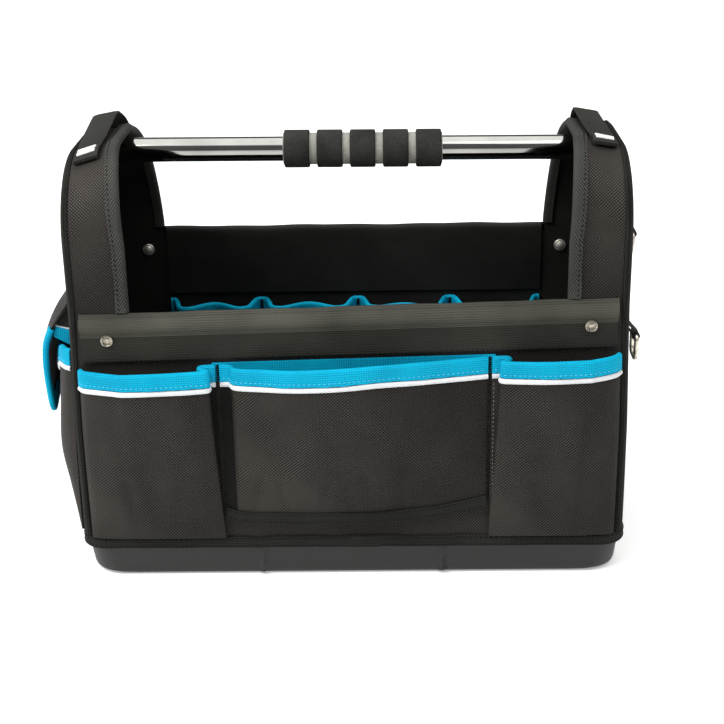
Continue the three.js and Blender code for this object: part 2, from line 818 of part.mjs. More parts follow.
// Flap: falls off the end wall; down is the distance from its lower edge.
function flap() {
  const fall = tableCurve(FLAP_FALL, "out", "level");
  const length = fall.getLength();
  const at = (y, down) => {
    const { x: out, y: level } = fall.getPointAt(THREE.MathUtils.clamp(1 - down / length, 0, 1));
    return point(endFace(y, level) + out, y, level);
  };
  const halfAt = (down) => FLAP_HALF - cornerDrop(FLAP_CORNER - down, FLAP_CORNER);
  const downs = [0, 1.5, 5.5, 12, 40, 68, FLAP_KNEE, 100, length];
  const shares = [-1, -0.5, 0, 0.5, 1];
  const grid = downs.map((down) => shares.map((share) => at(share * halfAt(down), down)));
  const side = downs.filter((down) => down <= FLAP_KNEE).map((down) => {
    const turn = Math.asin(Math.max(0, FLAP_CORNER - down) / FLAP_CORNER);
    return { y: halfAt(down), down, ey: Math.cos(turn), ed: -Math.sin(turn) };
  });
  const other = side.map((s) => ({ ...s, y: -s.y, ey: -s.ey }));
  const bottom = [-0.5, 0, 0.5].map((share) => ({ y: share * halfAt(0), down: 0, ey: 0, ed: -1 }));
  const stations = [...other.reverse(), ...bottom, ...side].map(({ y, down, ey, ed }) => {
    const inwards = Math.sign(y) * FLAP_HALF * 0.5;
    const across = y === 0 ? point(0, 1, 0) : at(y, down).sub(at(y - inwards, down));
    across.multiplyScalar(Math.sign(across.y)).normalize();
    const up = at(y, down + 0.5).sub(at(y, down)).normalize();
    const edge = across.clone().multiplyScalar(ey).addScaledVector(up, ed).normalize();
    const face = across.clone().cross(up).normalize();
    return { at: at(y, down), edge, face };
  });
  return {
    cloth: slab(grid, -POCKET_CLOTH, 0),
    tape: foldedTape(stations, POCKET_CLOTH, FLAP_TAPE, FLAP_TAPE, FLAP_TAPE_GAP),
  };
}

// Gusset that closes one side of the flap, between the end wall and the bend over the pocket.
function gusset(y) {
  const outline = GUSSET.map(({ out, level }) => new THREE.Vector2(endFace(y, level) + out, level));
  const options = { depth: POCKET_CLOTH, bevelEnabled: false };
  const geometry = new THREE.ExtrudeGeometry(new THREE.Shape(outline), options);
  return closed(geometry.rotateX(QUARTER).translate(0, y + POCKET_CLOTH / 2, 0));
}

// Strap over an arch: sewn down at both ends and standing off the crown as a low tent.
function archStrap({ start, middle, rise }) {
  const degrees = (list) => list.map(THREE.MathUtils.degToRad);
  const front = shoulder(ARCH_FRONT, -1, degrees([start, (start + 90) / 2, 90]));
  const back = shoulder(ARCH_BACK, 1, degrees([90, STRAP_END + 24, STRAP_END + 11, STRAP_END]));
  const grid = [...front, crown(-30), crown(-7), crown(0), ...back].map((s) => {
    const span = s.y < 0 ? STRAP_SPAN_FRONT : STRAP_SPAN_BACK;
    const share = Math.max(0, 1 - Math.max(Math.abs(s.y), 4) / span);
    const centre = lerp(STRAP_END_MIDDLE, middle, share);
    const edges = [-STRAP_WIDTH / 2, 0, STRAP_WIDTH / 2].map((offset) => centre + offset);
    return edges.map((x) => stripAt(s, x).addScaledVector(outOf(s), rise * share));
  });
  return slab(grid, STRAP_STAND, STRAP_STAND + STRAP_THICK);
}

// Ring wire bent round a closed outline in Y and Z, its bar along the top.
function wireRing(drop, bottomRound) {
  const [top, low] = [RING_TOP_ROUND, bottomRound];
  const sideTop = RING_HALF - top;
  const sideLow = RING_HALF - low;
  const path = new THREE.Path();
  path.moveTo(-sideTop, 0);
  path.lineTo(sideTop, 0);
  path.absarc(sideTop, -top, top, Math.PI / 2, 0, true);
  path.lineTo(RING_HALF, -drop + low);
  path.absarc(sideLow, -drop + low, low, 0, -Math.PI / 2, true);
  path.lineTo(-sideLow, -drop);
  path.absarc(-sideLow, -drop + low, low, -Math.PI / 2, -Math.PI, true);
  path.lineTo(-RING_HALF, -top);
  path.absarc(-sideTop, -top, top, Math.PI, Math.PI / 2, true);
  const line = path.getSpacedPoints(16).slice(0, -1);
  const sides = 5;
  const count = line.length;
  const positions = [];
  const triangles = [];
  line.forEach((p, i) => {
    const tangent = line[(i + 1) % count].clone().sub(line[(i + count - 1) % count]).normalize();
    for (let k = 0; k < sides; k++) {
      const turn = (2 * Math.PI * k) / sides;
      const out = RING_WIRE * Math.cos(turn);
      positions.push(RING_WIRE * Math.sin(turn), p.x - out * tangent.y, p.y + out * tangent.x);
      const [a, b] = [i * sides + k, i * sides + ((k + 1) % sides)];
      const [c, d] = [a, b].map((v) => (v + sides) % (count * sides));
      triangles.push(a, b, d, a, d, c);
    }
  });
  return facingOut(positions, triangles);
}

// Webbing tab folded round a ring's bar and sewn to the end wall above it.
function ringTab(x, level) {
  const outside = TAB_HOLE + TAB_THICK;
  const wall = (z) => endFace(0, z) + GAP;
  const [knee, top] = [level + TAB_FALL, level + TAB_FALL + TAB_SEWN];
  const thick = 2 * TAB_THICK;
  const shape = new THREE.Shape();
  shape.moveTo(x + outside, level);
  shape.lineTo(wall(knee) + thick, knee);
  shape.lineTo(wall(top) + thick, top);
  shape.lineTo(wall(top), top);
  shape.lineTo(wall(knee), knee);
  shape.lineTo(x - outside, level);
  shape.absarc(x, level, outside, Math.PI, 2 * Math.PI, false);
  const eye = new THREE.Path();
  eye.moveTo(x + TAB_HOLE, level);
  eye.lineTo(lerp(x, wall(knee) + TAB_THICK, 0.45), lerp(level, knee, 0.45));
  eye.lineTo(x - TAB_HOLE, level);
  eye.absarc(x, level, TAB_HOLE, Math.PI, 2 * Math.PI, false);
  shape.holes.push(eye);
  const options = { depth: 2 * TAB_HALF_WIDTH, bevelEnabled: false, curveSegments: 5 };
  const geometry = new THREE.ExtrudeGeometry(shape, options);
  return closed(geometry.rotateX(Math.PI / 2).translate(0, TAB_HALF_WIDTH, 0));
}

// Handle: a tube along X between two cups on the end walls, with a ringed foam grip.
const alongX = (geometry) => geometry.rotateZ(-Math.PI / 2).translate(0, 0, TUBE_LEVEL);

function sleeve(inner, outer, from, to, segments) {
  const profile = [
    [inner, from],
    [outer, from],
    [outer, to],
    [inner, to],
    [inner, from],
  ];
  return alongX(lathe(profile, segments));
}

function gripRing(index) {
  const pitch = GRIP_RING + GRIP_GROOVE;
  const from = GRIP_MIDDLE + (index - (GRIP_RINGS - 1) / 2) * pitch - GRIP_RING / 2;
  const to = from + GRIP_RING;
  const inner = GRIP_CORE_RADIUS + GAP;
  const round = 1.4;
  const profile = [
    [inner, from],
    [GRIP_RADIUS - round, from],
    [GRIP_RADIUS, from + round],
    [GRIP_RADIUS, to - round],
    [GRIP_RADIUS - round, to],
    [inner, to],
    [inner, from],
  ];
  return alongX(lathe(profile, 14));
}

function socket() {
  const face = HALF_LENGTH - CLOTH - GAP;
  const [low, high] = [TUBE_LEVEL - SOCKET_DROP, TUBE_LEVEL + SOCKET_TOP];
  const outline = [
    [-SOCKET_RADIUS, low],
    [SOCKET_RADIUS, low],
    [SOCKET_RADIUS, high],
    [-SOCKET_RADIUS, high],
  ];
  const plate = toSolid(drawnAlongX(outline, face - SOCKET_PLATE, face));
  const rim = face - SOCKET_PLATE + 0.5;
  const collar = toSolid(sleeve(TUBE_RADIUS + GAP, SOCKET_RADIUS, face - SOCKET_DEPTH, rim, 16));
  return fromSolid(plate.add(collar));
}

// Assembly
const bag = new THREE.Group();
bag.name = "tool_tote";

function place(parent, name, geometry, color, roughness = 0.9, metalness = 0) {
  const whole = geometry.index ? geometry : mergeVertices(geometry);
  whole.computeVertexNormals();
  const mesh = new THREE.Mesh(whole, new THREE.MeshStandardMaterial({ color, roughness, metalness }));
  mesh.name = name;
  parent.add(mesh);
  return mesh;
}

place(bag, "base_tray", tray(), TRAY_GREY, 0.6);
place(bag, "base_binding", baseTape(), BLACK_TAPE);

const sides = [-RIVET_X, RIVET_X];
const frontHoles = sides.map((x) => rivetHole(x, RIVET_LEVEL + slant(x)));
const backHoles = sides.map((x) => rivetHole(x, RIVET_LEVEL));
const backSide = new THREE.Group();
backSide.rotation.z = Math.PI;
bag.add(backSide);
place(bag, "front_wall", longWall(frontHoles), BLACK_CLOTH);
place(backSide, "back_wall", longWall(backHoles), BLACK_CLOTH);
place(bag, "front_band", band(frontHoles, FRONT_SLANT / HALF_LENGTH), BAND_WEBBING);
place(backSide, "back_band", band(backHoles, 0), BAND_WEBBING);
["left", "right"].forEach((side, i) => {
  place(bag, `front_${side}_rivet`, rivet(sides[i], RIVET_LEVEL + slant(sides[i])), STEEL, 0.35, 1);
  place(backSide, `back_${side}_rivet`, rivet(-sides[i], RIVET_LEVEL), STEEL, 0.35, 1);
});

const leftEnd = new THREE.Group();
leftEnd.scale.x = -1;
const rightEnd = new THREE.Group();
bag.add(leftEnd, rightEnd);
const bandTop = BAND_OUTSIDE[BAND_OUTSIDE.length - 1].level + 0.6;
for (const [side, group, sign] of [
  ["left", leftEnd, -1],
  ["right", rightEnd, 1],
]) {
  const frontFoot = bandTop + Math.max(slant(sign * STRIP_INNER), slant(sign * 200));
  place(group, `${side}_end_wall`, endWall(), BLACK_CLOTH);
  place(group, `${side}_arch_strip`, archStrip(), BLACK_CLOTH);
  place(group, `${side}_arch_binding`, archTape(frontFoot, bandTop), BLACK_TAPE);
  place(group, `${side}_end_binding`, seamTape(), BLACK_TAPE);
  place(group, `${side}_arch_strap`, archStrap(STRAPS[side]), BLACK_TAPE);
  place(group, `${side}_handle_socket`, socket(), TRAY_GREY, 0.6);
  place(group, `${side}_ring_tab`, ringTab(RING_X, RING_LEVEL), BLACK_TAPE);
  const ring = wireRing(RING_DROP, RING_BOTTOM_ROUND).translate(RING_X, 0, RING_LEVEL);
  place(group, `${side}_ring`, ring, STEEL, 0.3, 1);
}
place(rightEnd, "tool_ring_tab", ringTab(TOOL_RING_X, TOOL_RING_LEVEL), BLACK_TAPE);
const toolRing = wireRing(TOOL_RING_DROP, TOOL_RING_BOTTOM_ROUND);
place(rightEnd, "tool_ring", toolRing.translate(TOOL_RING_X, 0, TOOL_RING_LEVEL), STEEL, 0.3, 1);

const tubeBore = TUBE_RADIUS - TUBE_WALL;
place(bag, "handle_tube", sleeve(tubeBore, TUBE_RADIUS, -TUBE_HALF, TUBE_HALF, 16), CHROME, 0.15, 1);
const gripHalf = (GRIP_RINGS * GRIP_RING + (GRIP_RINGS - 1) * GRIP_GROOVE) / 2 + 0.8;
const [gripFrom, gripTo] = [GRIP_MIDDLE - gripHalf, GRIP_MIDDLE + gripHalf];
place(bag, "grip_core", sleeve(TUBE_RADIUS + GAP, GRIP_CORE_RADIUS, gripFrom, gripTo, 14), GROOVE_GREY);
for (let i = 0; i < GRIP_RINGS; i++) {
  place(bag, `grip_ring_${i + 1}`, gripRing(i), FOAM);
}

for (const row of FRONT_POCKETS) {
  const shape = frontPocket(row);
  place(bag, row.name, pocketBody(shape, ROWS), BLACK_CLOTH);
  place(bag, `${row.name}_binding`, pocketTape(shape), BLUE);
  place(bag, `${row.name}_piping`, pocketPiping(shape), PALE, 0.4);
  if (row.name === "front_centre_pocket") {
    const hem = slab([0, HEM].map(shape.above), TRIM_GAP, TRIM_GAP + TAPE);
    place(bag, "front_centre_pocket_hem", hem, BLACK_TAPE);
  }
}
place(bag, "front_centre_backing", backing(), BLUE);

const inside = innerPockets();
place(bag, "inner_pockets", pocketBody(inside, INNER_ROWS), BLACK_CLOTH);
place(bag, "inner_pockets_binding", pocketTape(inside, INNER_ROWS), BLUE);

const atEnd = endPocket();
place(leftEnd, "left_end_pocket", pocketBody(atEnd, END_ROWS), BLACK_CLOTH);
place(leftEnd, "left_end_pocket_binding", pocketTape(atEnd, END_ROWS), BLUE);
place(leftEnd, "left_end_pocket_piping", pocketPiping(atEnd), PALE, 0.4);
const cover = flap();
place(leftEnd, "left_end_flap", cover.cloth, BLACK_CLOTH);
place(leftEnd, "left_end_flap_binding", cover.tape, BLUE);
place(leftEnd, "left_end_front_gusset", gusset(-GUSSET_Y), BLACK_CLOTH);
place(leftEnd, "left_end_back_gusset", gusset(GUSSET_Y), BLACK_CLOTH);

export default bag;
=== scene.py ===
"""Open tool tote: a moulded tray, a cloth body with two tall arched ends, and a chromed tube handle.

Shapes are worked out in millimetres, +X right seen from the front, +Y back, +Z up, and set in metres.
"""
import math

import bpy
import numpy as np
from mathutils import Matrix


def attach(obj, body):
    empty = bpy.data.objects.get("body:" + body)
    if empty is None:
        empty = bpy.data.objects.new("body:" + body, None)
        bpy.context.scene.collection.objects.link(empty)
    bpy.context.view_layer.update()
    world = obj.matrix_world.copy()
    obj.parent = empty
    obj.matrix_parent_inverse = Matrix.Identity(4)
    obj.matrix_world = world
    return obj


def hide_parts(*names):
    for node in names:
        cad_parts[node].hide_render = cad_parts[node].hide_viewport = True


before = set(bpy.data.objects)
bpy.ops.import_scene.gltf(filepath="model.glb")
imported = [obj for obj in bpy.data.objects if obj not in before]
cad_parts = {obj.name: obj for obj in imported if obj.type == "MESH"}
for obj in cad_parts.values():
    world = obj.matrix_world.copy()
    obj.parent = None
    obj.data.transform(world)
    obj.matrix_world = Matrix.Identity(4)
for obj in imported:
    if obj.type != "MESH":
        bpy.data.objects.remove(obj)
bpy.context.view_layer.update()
scene = bpy.context.scene

# Camera: a long lens in front of the bag, a little above it and turned a hair to the left,
# as a product picture is taken on a white table.
IMAGE_SIDE = 724
LENS_IN_PIXELS = 1505.3
CAMERA_PLACE = np.array([37.1, -1337.4, 686.8])
CAMERA_TURNS = np.radians([-1.21, 21.49, -1.03])

yaw, pitch, roll = CAMERA_TURNS
ahead = np.array([np.sin(yaw) * np.cos(pitch), np.cos(yaw) * np.cos(pitch), -np.sin(pitch)])
level_right = np.array([np.cos(yaw), -np.sin(yaw), 0.0])
level_up = np.cross(level_right, ahead)
frame_right = np.cos(roll) * level_right + np.sin(roll) * level_up
frame_up = np.cos(roll) * level_up - np.sin(roll) * level_right
camera = bpy.data.objects.new("camera", bpy.data.cameras.new("camera"))
camera.data.sensor_width = 36
camera.data.lens = 36 * LENS_IN_PIXELS / IMAGE_SIDE
camera_axes = np.eye(4)
camera_axes[:3, :4] = np.column_stack([frame_right, frame_up, -ahead, CAMERA_PLACE / 1000])
camera.matrix_world = Matrix(camera_axes.tolist())
scene.collection.objects.link(camera)
scene.camera = camera

# Floor and light: a plain white table, faintly lit from below, under one large bright panel.
# The sides of the room stay dim, so that the tube gets a white top and a dark foot.
# Two high boxes fill the front.
FLOOR_HALF = 60000.0
FLOOR_WHITE, FLOOR_GLOW = (0.8, 0.8, 0.795), 0.42
SKY_STRENGTH = 2.4
# Height in the room, as a share from straight down to straight up, and the brightness there.
SKY_LEVELS = ((0.0, 0.07), (0.85, 0.09), (0.89, 1.0), (1.0, 1.0))
# Place, width and height in metres, and watts.
SOFT_BOXES = {
    "front_left_box": ((-1.5, -1.05, 1.9), (1.2, 1.0), 50.0),
    "front_right_box": ((0.8, -1.1, 2.2), (1.0, 1.0), 6.0),
}
LOOKED_AT = np.array([0.0, 0.0, 0.18])
SHARP_FROM = math.radians(38)


def quads_over(rows, columns, wrap_rows=False, wrap_columns=False):
    """Row and column numbers of the four corners of every quad on a grid, past the end where it wraps."""
    places = np.arange(rows - (not wrap_rows)), np.arange(columns - (not wrap_columns))
    r, c = np.meshgrid(*places, indexing="ij")
    row_corners = np.stack([r, r, r + 1, r + 1], -1).reshape(-1, 4)
    column_corners = np.stack([c, c + 1, c + 1, c], -1).reshape(-1, 4)
    return row_corners, column_corners


def put(name, part, finishes):
    """A piece from its points in millimetres, quads, UV per quad corner and finish number per quad."""
    points, quads, uv, finish = part
    mesh = bpy.data.meshes.new(name)
    mesh.vertices.add(len(points))
    mesh.vertices.foreach_set("co", (np.asarray(points) / 1000).ravel())
    mesh.loops.add(quads.size)
    mesh.loops.foreach_set("vertex_index", quads.ravel().astype(np.int32))
    mesh.polygons.add(len(quads))
    mesh.polygons.foreach_set("loop_start", np.arange(0, quads.size, 4, dtype=np.int32))
    mesh.polygons.foreach_set("material_index", finish.astype(np.int32))
    mesh.polygons.foreach_set("use_smooth", np.ones(len(quads), dtype=bool))
    mesh.uv_layers.new(name="cut").data.foreach_set("uv", uv.ravel().astype(np.float32))
    mesh.update(calc_edges=True)
    mesh.set_sharp_from_angle(angle=SHARP_FROM)
    for material in finishes:
        mesh.materials.append(material)
    piece = bpy.data.objects.new(name, mesh)
    scene.collection.objects.link(piece)
    return piece


def set_sockets(material, made, sockets):
    """Sets a node's sockets by name or number; each takes a number, a colour or another node's output."""
    for key, value in sockets.items():
        socket = made.inputs[int(key[1:])] if key[1:].isdigit() else made.inputs[key.replace("_", " ")]
        if isinstance(value, bpy.types.NodeSocket):
            material.node_tree.links.new(value, socket)
        else:
            socket.default_value = value
    return made


def node(material, kind, settings=(), **sockets):
    """Adds one shader node and sets its sockets."""
    made = material.node_tree.nodes.new("ShaderNode" + kind)
    for key, value in dict(settings).items():
        setattr(made, key, value)
    return set_sockets(material, made, sockets)


def shade(material, **sockets):
    """Sets sockets of a material's own shader: a constant stands on the socket, a pattern is linked to it."""
    set_sockets(material, material.node_tree.nodes["Principled BSDF"], sockets)
    return material


def plain_finish(name, colour, roughness, metallic=0.0):
    """A material with its constant numbers on the shader's own sockets."""
    material = bpy.data.materials.new(name)
    material.use_nodes = True
    return shade(material, Base_Color=(*colour, 1), Roughness=roughness, Metallic=metallic)


def unit(vectors):
    """The same vectors at length one."""
    return vectors / np.linalg.norm(vectors, axis=-1, keepdims=True)


floor_grid = np.array([[-1, -1], [1, -1], [1, 1], [-1, 1]]) * FLOOR_HALF
floor_points = np.column_stack([floor_grid, np.full(4, -0.4)])
floor_part = (floor_points, np.array([[0, 1, 2, 3]]), floor_grid[None] / 1000, np.zeros(1))
floor_white = plain_finish("table_white", FLOOR_WHITE, 0.9)
shade(floor_white, Emission_Color=(*FLOOR_WHITE, 1), Emission_Strength=FLOOR_GLOW)
floor = put("floor", floor_part, [floor_white])

world = bpy.data.worlds.new("white_room")
world.use_nodes = True
scene.world = world
scene.view_settings.view_transform = "Standard"
sky_coords = node(world, "TexCoord")
sky_split = node(world, "SeparateXYZ", _0=sky_coords.outputs["Generated"])
sky_height = node(world, "MapRange", _0=sky_split.outputs["Z"], _1=-1.0, _2=1.0)
sky_ramp = node(world, "ValToRGB", _0=sky_height.outputs[0])
for stop, (at, level) in zip((0, 1), (SKY_LEVELS[0], SKY_LEVELS[-1])):
    sky_ramp.color_ramp.elements[stop].position = at
    sky_ramp.color_ramp.elements[stop].color = (level, level, level, 1)
for at, level in SKY_LEVELS[1:-1]:
    sky_ramp.color_ramp.elements.new(at).color = (level, level, level, 1)
sky_light = world.node_tree.nodes["Background"]
set_sockets(world, sky_light, {"Strength": SKY_STRENGTH, "Color": sky_ramp.outputs[0]})
for name, (place, (width, height), watts) in SOFT_BOXES.items():
    box = bpy.data.objects.new(name, bpy.data.lights.new(name, "AREA"))
    box.data.shape = "RECTANGLE"
    box.data.size, box.data.size_y, box.data.energy = width, height, watts
    back = unit(np.array(place) - LOOKED_AT)
    side = unit(np.cross([0.0, 0.0, 1.0], back))
    turned = np.eye(4)
    turned[:3, :4] = np.column_stack([side, np.cross(back, side), back, place])
    box.matrix_world = Matrix(turned.tolist())
    scene.collection.objects.link(box)

# Base tray: one shallow tub moulded in dark grey polypropylene, with drafted sides, rounded corners
# and two faint upright ribs on each long side. Its skin has the fine grain of a textured mould.
TRAY_HALF = (243.4, 123.2)
TRAY_CORNER = 20.0
TRAY_ROUNDER = 4.5
# Level and inset of each ring, from under the middle out, up the side and back in.
TRAY_SECTION = (
    (0.0, 120.0), (0.0, 60.0), (0.0, 20.0), (0.0, 8.5), (0.25, 6.4), (0.9, 4.4), (1.9, 3.0), (3.2, 2.1),
    (6.0, 1.7), (12.0, 1.3), (20.0, 0.8), (28.0, 0.3), (33.0, 0.0), (33.8, 0.6), (34.0, 1.5), (33.8, 2.5),
    (30.0, 3.1), (20.0, 3.7), (8.0, 4.5), (5.0, 6.0), (3.7, 9.0), (3.5, 20.0), (3.5, 60.0), (3.5, 120.0),
)
RIB_X, RIB_HALF, RIB_STAND, RIB_TOP = 82.0, 2.4, 3.0, 28.0
TRAY_TONES = (0.001, 0.0009, 0.0007), (0.007, 0.0067, 0.0056)


def far_along(line):
    """Distance walked along a line of points, from 0 at its start."""
    return np.concatenate([[0], np.cumsum(np.linalg.norm(np.diff(line, axis=0), axis=1))])


def read_at(line, far, at):
    """Columns of a line at distances walked along it."""
    return np.stack([np.interp(at, far, column) for column in line.T], -1)


def rounded_loop(half_x, half_y, corner, count):
    """Rounded rectangle walked in count even steps, with its way out: corner arcs and straight lines."""
    turns = np.linspace(0, np.pi / 2, 24)
    signs = np.array([[1, 1], [-1, 1], [-1, -1], [1, -1]])
    angles = (turns[None] + np.arange(4)[:, None] * np.pi / 2).ravel()
    way = np.stack([np.cos(angles), np.sin(angles)], -1)
    line = np.repeat(signs * (half_x - corner, half_y - corner), 24, axis=0) + corner * way
    line, way = np.vstack([line, line[:1]]), np.vstack([way, way[:1]])
    far = far_along(line)
    at = np.linspace(0, far[-1], count, endpoint=False)
    return read_at(line, far, at), read_at(way, far, at)


def lengths_over(grid):
    """UV in millimetres of cloth: u is the length walked along each row and v down each column."""
    u = np.zeros(grid.shape[:2])
    v = np.zeros(grid.shape[:2])
    u[:, 1:] = np.cumsum(np.linalg.norm(np.diff(grid, axis=1), axis=2), axis=1)
    v[1:] = np.cumsum(np.linalg.norm(np.diff(grid, axis=0), axis=2), axis=0)
    return np.stack([u - u[:, -1:] / 2, v], -1)


def facing_out(points, quads, uv, finish):
    """The same closed part with its quads turned round if its signed volume is negative."""
    a, b, c, d = (points[quads[:, k]] for k in range(4))
    volume = np.sum(a * np.cross(b, c)) + np.sum(a * np.cross(c, d))
    turn = slice(None, None, 1 if volume > 0 else -1)
    return points, quads[:, turn], uv[:, turn], finish


def tube(rings, wrap=False):
    """Closed skin through rings of points: round each ring, and on to the first ring or to a flat lid."""
    rows, columns = rings.shape[:2]
    r, c = quads_over(rows, columns, wrap, True)
    longer = np.concatenate([rings, rings[:, :1]], axis=1)
    longer = np.concatenate([longer, longer[:1]]) if wrap else longer
    quads = (r % rows) * columns + c % columns
    uv = lengths_over(longer)[r, c]
    if not wrap:
        k = np.arange(columns // 2 - 1)
        lid = np.stack([k, k + 1, columns - 2 - k, columns - 1 - k], -1)
        lids = np.concatenate([lid[:, ::-1], lid + (rows - 1) * columns])
        quads = np.concatenate([quads, lids])
        uv = np.concatenate([uv, rings.reshape(-1, 3)[lids][..., :2]])
    return facing_out(rings.reshape(-1, 3), quads, uv, np.zeros(len(quads)))


def toned(material, share, tones):
    """Colour between a dark and a light tone, by a share from 0 to 1."""
    dark, light = tones
    mixed = node(material, "Mix", {"data_type": "RGBA"}, Factor=share, _6=(*dark, 1), _7=(*light, 1))
    return mixed.outputs[2]


def multiplied(material, a, b):
    """Product of two outputs."""
    return node(material, "Math", {"operation": "MULTIPLY"}, _0=a, _1=b).outputs[0]


def grained_plastic(name, tones, roughness, grain=1500.0, depth=0.00012):
    """Moulded plastic: fine noise pits for the mould's grain, and a slow cloud of paler handling marks."""
    material = plain_finish(name, tones[0], roughness)
    coords = node(material, "TexCoord").outputs["Object"]
    pits = node(material, "TexNoise", Vector=coords, Scale=grain, Detail=2.0).outputs["Fac"]
    marks = node(material, "TexNoise", Vector=coords, Scale=38.0, Detail=4.0).outputs["Fac"]
    share = node(material, "MapRange", _0=multiplied(material, pits, marks), _1=0.12, _2=0.42)
    gloss = node(material, "MapRange", _0=marks, _3=roughness - 0.08, _4=roughness + 0.1)
    bump = node(material, "Bump", Height=pits, Strength=0.5, Distance=depth)
    tone = toned(material, share.outputs[0], tones)
    return shade(material, Base_Color=tone, Roughness=gloss.outputs[0], Normal=bump.outputs[0])


def soft_step(x, low, high):
    """Smooth share from 0 at low to 1 at high, 3t^2 - 2t^3."""
    t = np.clip((x - low) / (high - low), 0, 1)
    return t * t * (3 - 2 * t)


def tray_rings():
    """Rounded rectangles inset and raised by the tub's section; ribs push the long sides out near RIB_X."""
    rings = []
    for level, inset in TRAY_SECTION:
        half_x, half_y = (half - inset for half in TRAY_HALF)
        outline, way = rounded_loop(half_x, half_y, min(TRAY_CORNER + TRAY_ROUNDER * inset, half_y - 1), 640)
        rib = 1 - soft_step(np.abs(np.abs(outline[:, 0]) - RIB_X), RIB_HALF - 1.4, RIB_HALF + 1.0)
        stands = RIB_STAND * rib * (level < RIB_TOP) * (0.2 < level) * (inset < 3) * (np.abs(way[:, 1]) > 0.9)
        flat = outline + way * stands[:, None]
        rings.append(np.column_stack([flat, np.full(len(flat), level)]))
    return np.array(rings)


def add(name, part, finishes, cad_node=None, body="bag"):
    """Puts a piece on its body and the CAD node that it stands for."""
    piece = put(name, part, finishes)
    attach(piece, body)
    if cad_node:
        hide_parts(cad_node)
    return piece


tray_plastic = grained_plastic("tray_grey_plastic", TRAY_TONES, 0.52)
add("tray_moulding", tube(tray_rings()), [tray_plastic], "base_tray")

# Base tape: a band of black binding tape laid over the joint of the tray and the cloth, all the way round.
# It is sewn along both edges and its two ends overlap in the middle of the front.
HALF_LENGTH, HALF_DEPTH = 239.0, 125.0
WALL_FOOT = 34.0
SEAM_RADIUS, SEAM_RADIUS_FOOT, SEAM_LEVEL = 8.0, 20.0, 150.0
FOOT_FLARE, FLARE_TOP = 6.3, 251.7
BASE_TAPE_FOOT, BASE_TAPE_TOP, BASE_TAPE_HIGH = 29.5, 41.0, 2.5
# Share of the width from the lower edge, and height over the cloth.
BASE_TAPE_SECTION = (
    (0, 0.5), (0.02, 1.6), (0.08, 2.3), (0.5, BASE_TAPE_HIGH), (0.92, 2.3), (0.98, 1.6), (1, 0.5), (0.5, 0.5)
)
BASE_ROW_IN, THREAD_SUNK = 2.2, 0.1
TAPE_TONES = (0.001, 0.001, 0.0009), (0.024, 0.0237, 0.0202)
THREAD_TONES = (0.003, 0.003, 0.003), (0.012, 0.012, 0.011)


def seam_radius(level):
    """Rounding of the bag's upright corners: wide at the tray, closing evenly to the seam's own radius."""
    share = np.clip((np.asarray(level, float) - WALL_FOOT) / (SEAM_LEVEL - WALL_FOOT), 0, 1)
    return SEAM_RADIUS_FOOT + (SEAM_RADIUS - SEAM_RADIUS_FOOT) * share


def half_length(level):
    """Half of the bag's length: it widens in a straight line from the rim down to the tray."""
    share = np.clip((FLARE_TOP - np.asarray(level, float)) / (FLARE_TOP - WALL_FOOT), 0, 1)
    return HALF_LENGTH + FOOT_FLARE * share


def threads(name, tones, waves, fuzz, depth, roughness, cloud=0.2, gloss=0.12, fade=None):
    """Woven finish on UV millimetres: wave bands turned to each thread's angle, multiplied, with fuzz noise.

    waves lists (angle in degrees, spacing in millimetres, share of relief), fuzz is the share of loose fibre.
    A slow cloud rubs the weave down to its mean tone in patches. fade paints light and shade: it darkens
    one way of the cut evenly, as light falls on it: the way's name, where it turns back or 0, its first and
    last millimetre, and the tone at each."""
    material = plain_finish(name, tones[0], roughness)
    coords = node(material, "TexCoord").outputs["UV"]
    raised = None
    for angle, spacing, share in waves:
        along = node(material, "Mapping", Vector=coords, Rotation=(0, 0, math.radians(angle))).outputs[0]
        band = node(material, "TexWave", Vector=along, Scale=2 * math.pi / (20 * spacing)).outputs["Fac"]
        band = node(material, "MapRange", _0=band, _3=1.0 - share, _4=1.0).outputs[0]
        raised = band if raised is None else multiplied(material, raised, band)
    fibre = node(material, "TexNoise", Vector=coords, Scale=1.1, Detail=3.0).outputs["Fac"]
    patches = node(material, "TexNoise", Vector=coords, Scale=0.022, Detail=3.0).outputs["Fac"]
    slow = node(material, "TexNoise", Vector=coords, Scale=0.014, Detail=2.0).outputs["Fac"]
    crisp = node(material, "MapRange", _0=raised, _1=0.18, _2=0.62).outputs[0]
    height = node(material, "Mix", Factor=fuzz, _2=crisp, _3=fibre).outputs[0]
    worn = node(material, "MapRange", _0=patches, _1=0.46, _2=0.58, _3=0.0, _4=0.8).outputs[0]
    mean = 0.55 ** sum(share for _, _, share in waves)
    rubbed = node(material, "Mix", Factor=worn, _2=height, _3=mean).outputs[0]
    cloudy = node(material, "Mix", Factor=cloud, _2=rubbed, _3=patches).outputs[0]
    uneven = node(material, "MapRange", _0=slow, _1=0.32, _2=0.68, _3=0.72, _4=1.28).outputs[0]
    lightness = multiplied(material, cloudy, uneven)
    if fade:
        way, turn, first, last, first_tone, last_tone = fade
        place = node(material, "SeparateXYZ", _0=coords).outputs[way]
        if turn:
            place = node(material, "Math", {"operation": "PINGPONG"}, _0=place, _1=turn).outputs[0]
        painted_shade_factor = node(material, "MapRange", _0=place, _1=first, _2=last, _3=first_tone, _4=last_tone)
        lightness = multiplied(material, lightness, painted_shade_factor.outputs[0])
    dull = node(material, "MapRange", _0=fibre, _3=roughness - 0.08, _4=roughness + 0.1).outputs[0]
    bump = node(material, "Bump", Height=height, Strength=0.8, Distance=depth).outputs[0]
    tone = toned(material, lightness, tones)
    return shade(material, Base_Color=tone, Roughness=dull, Normal=bump, Specular_IOR_Level=gloss)


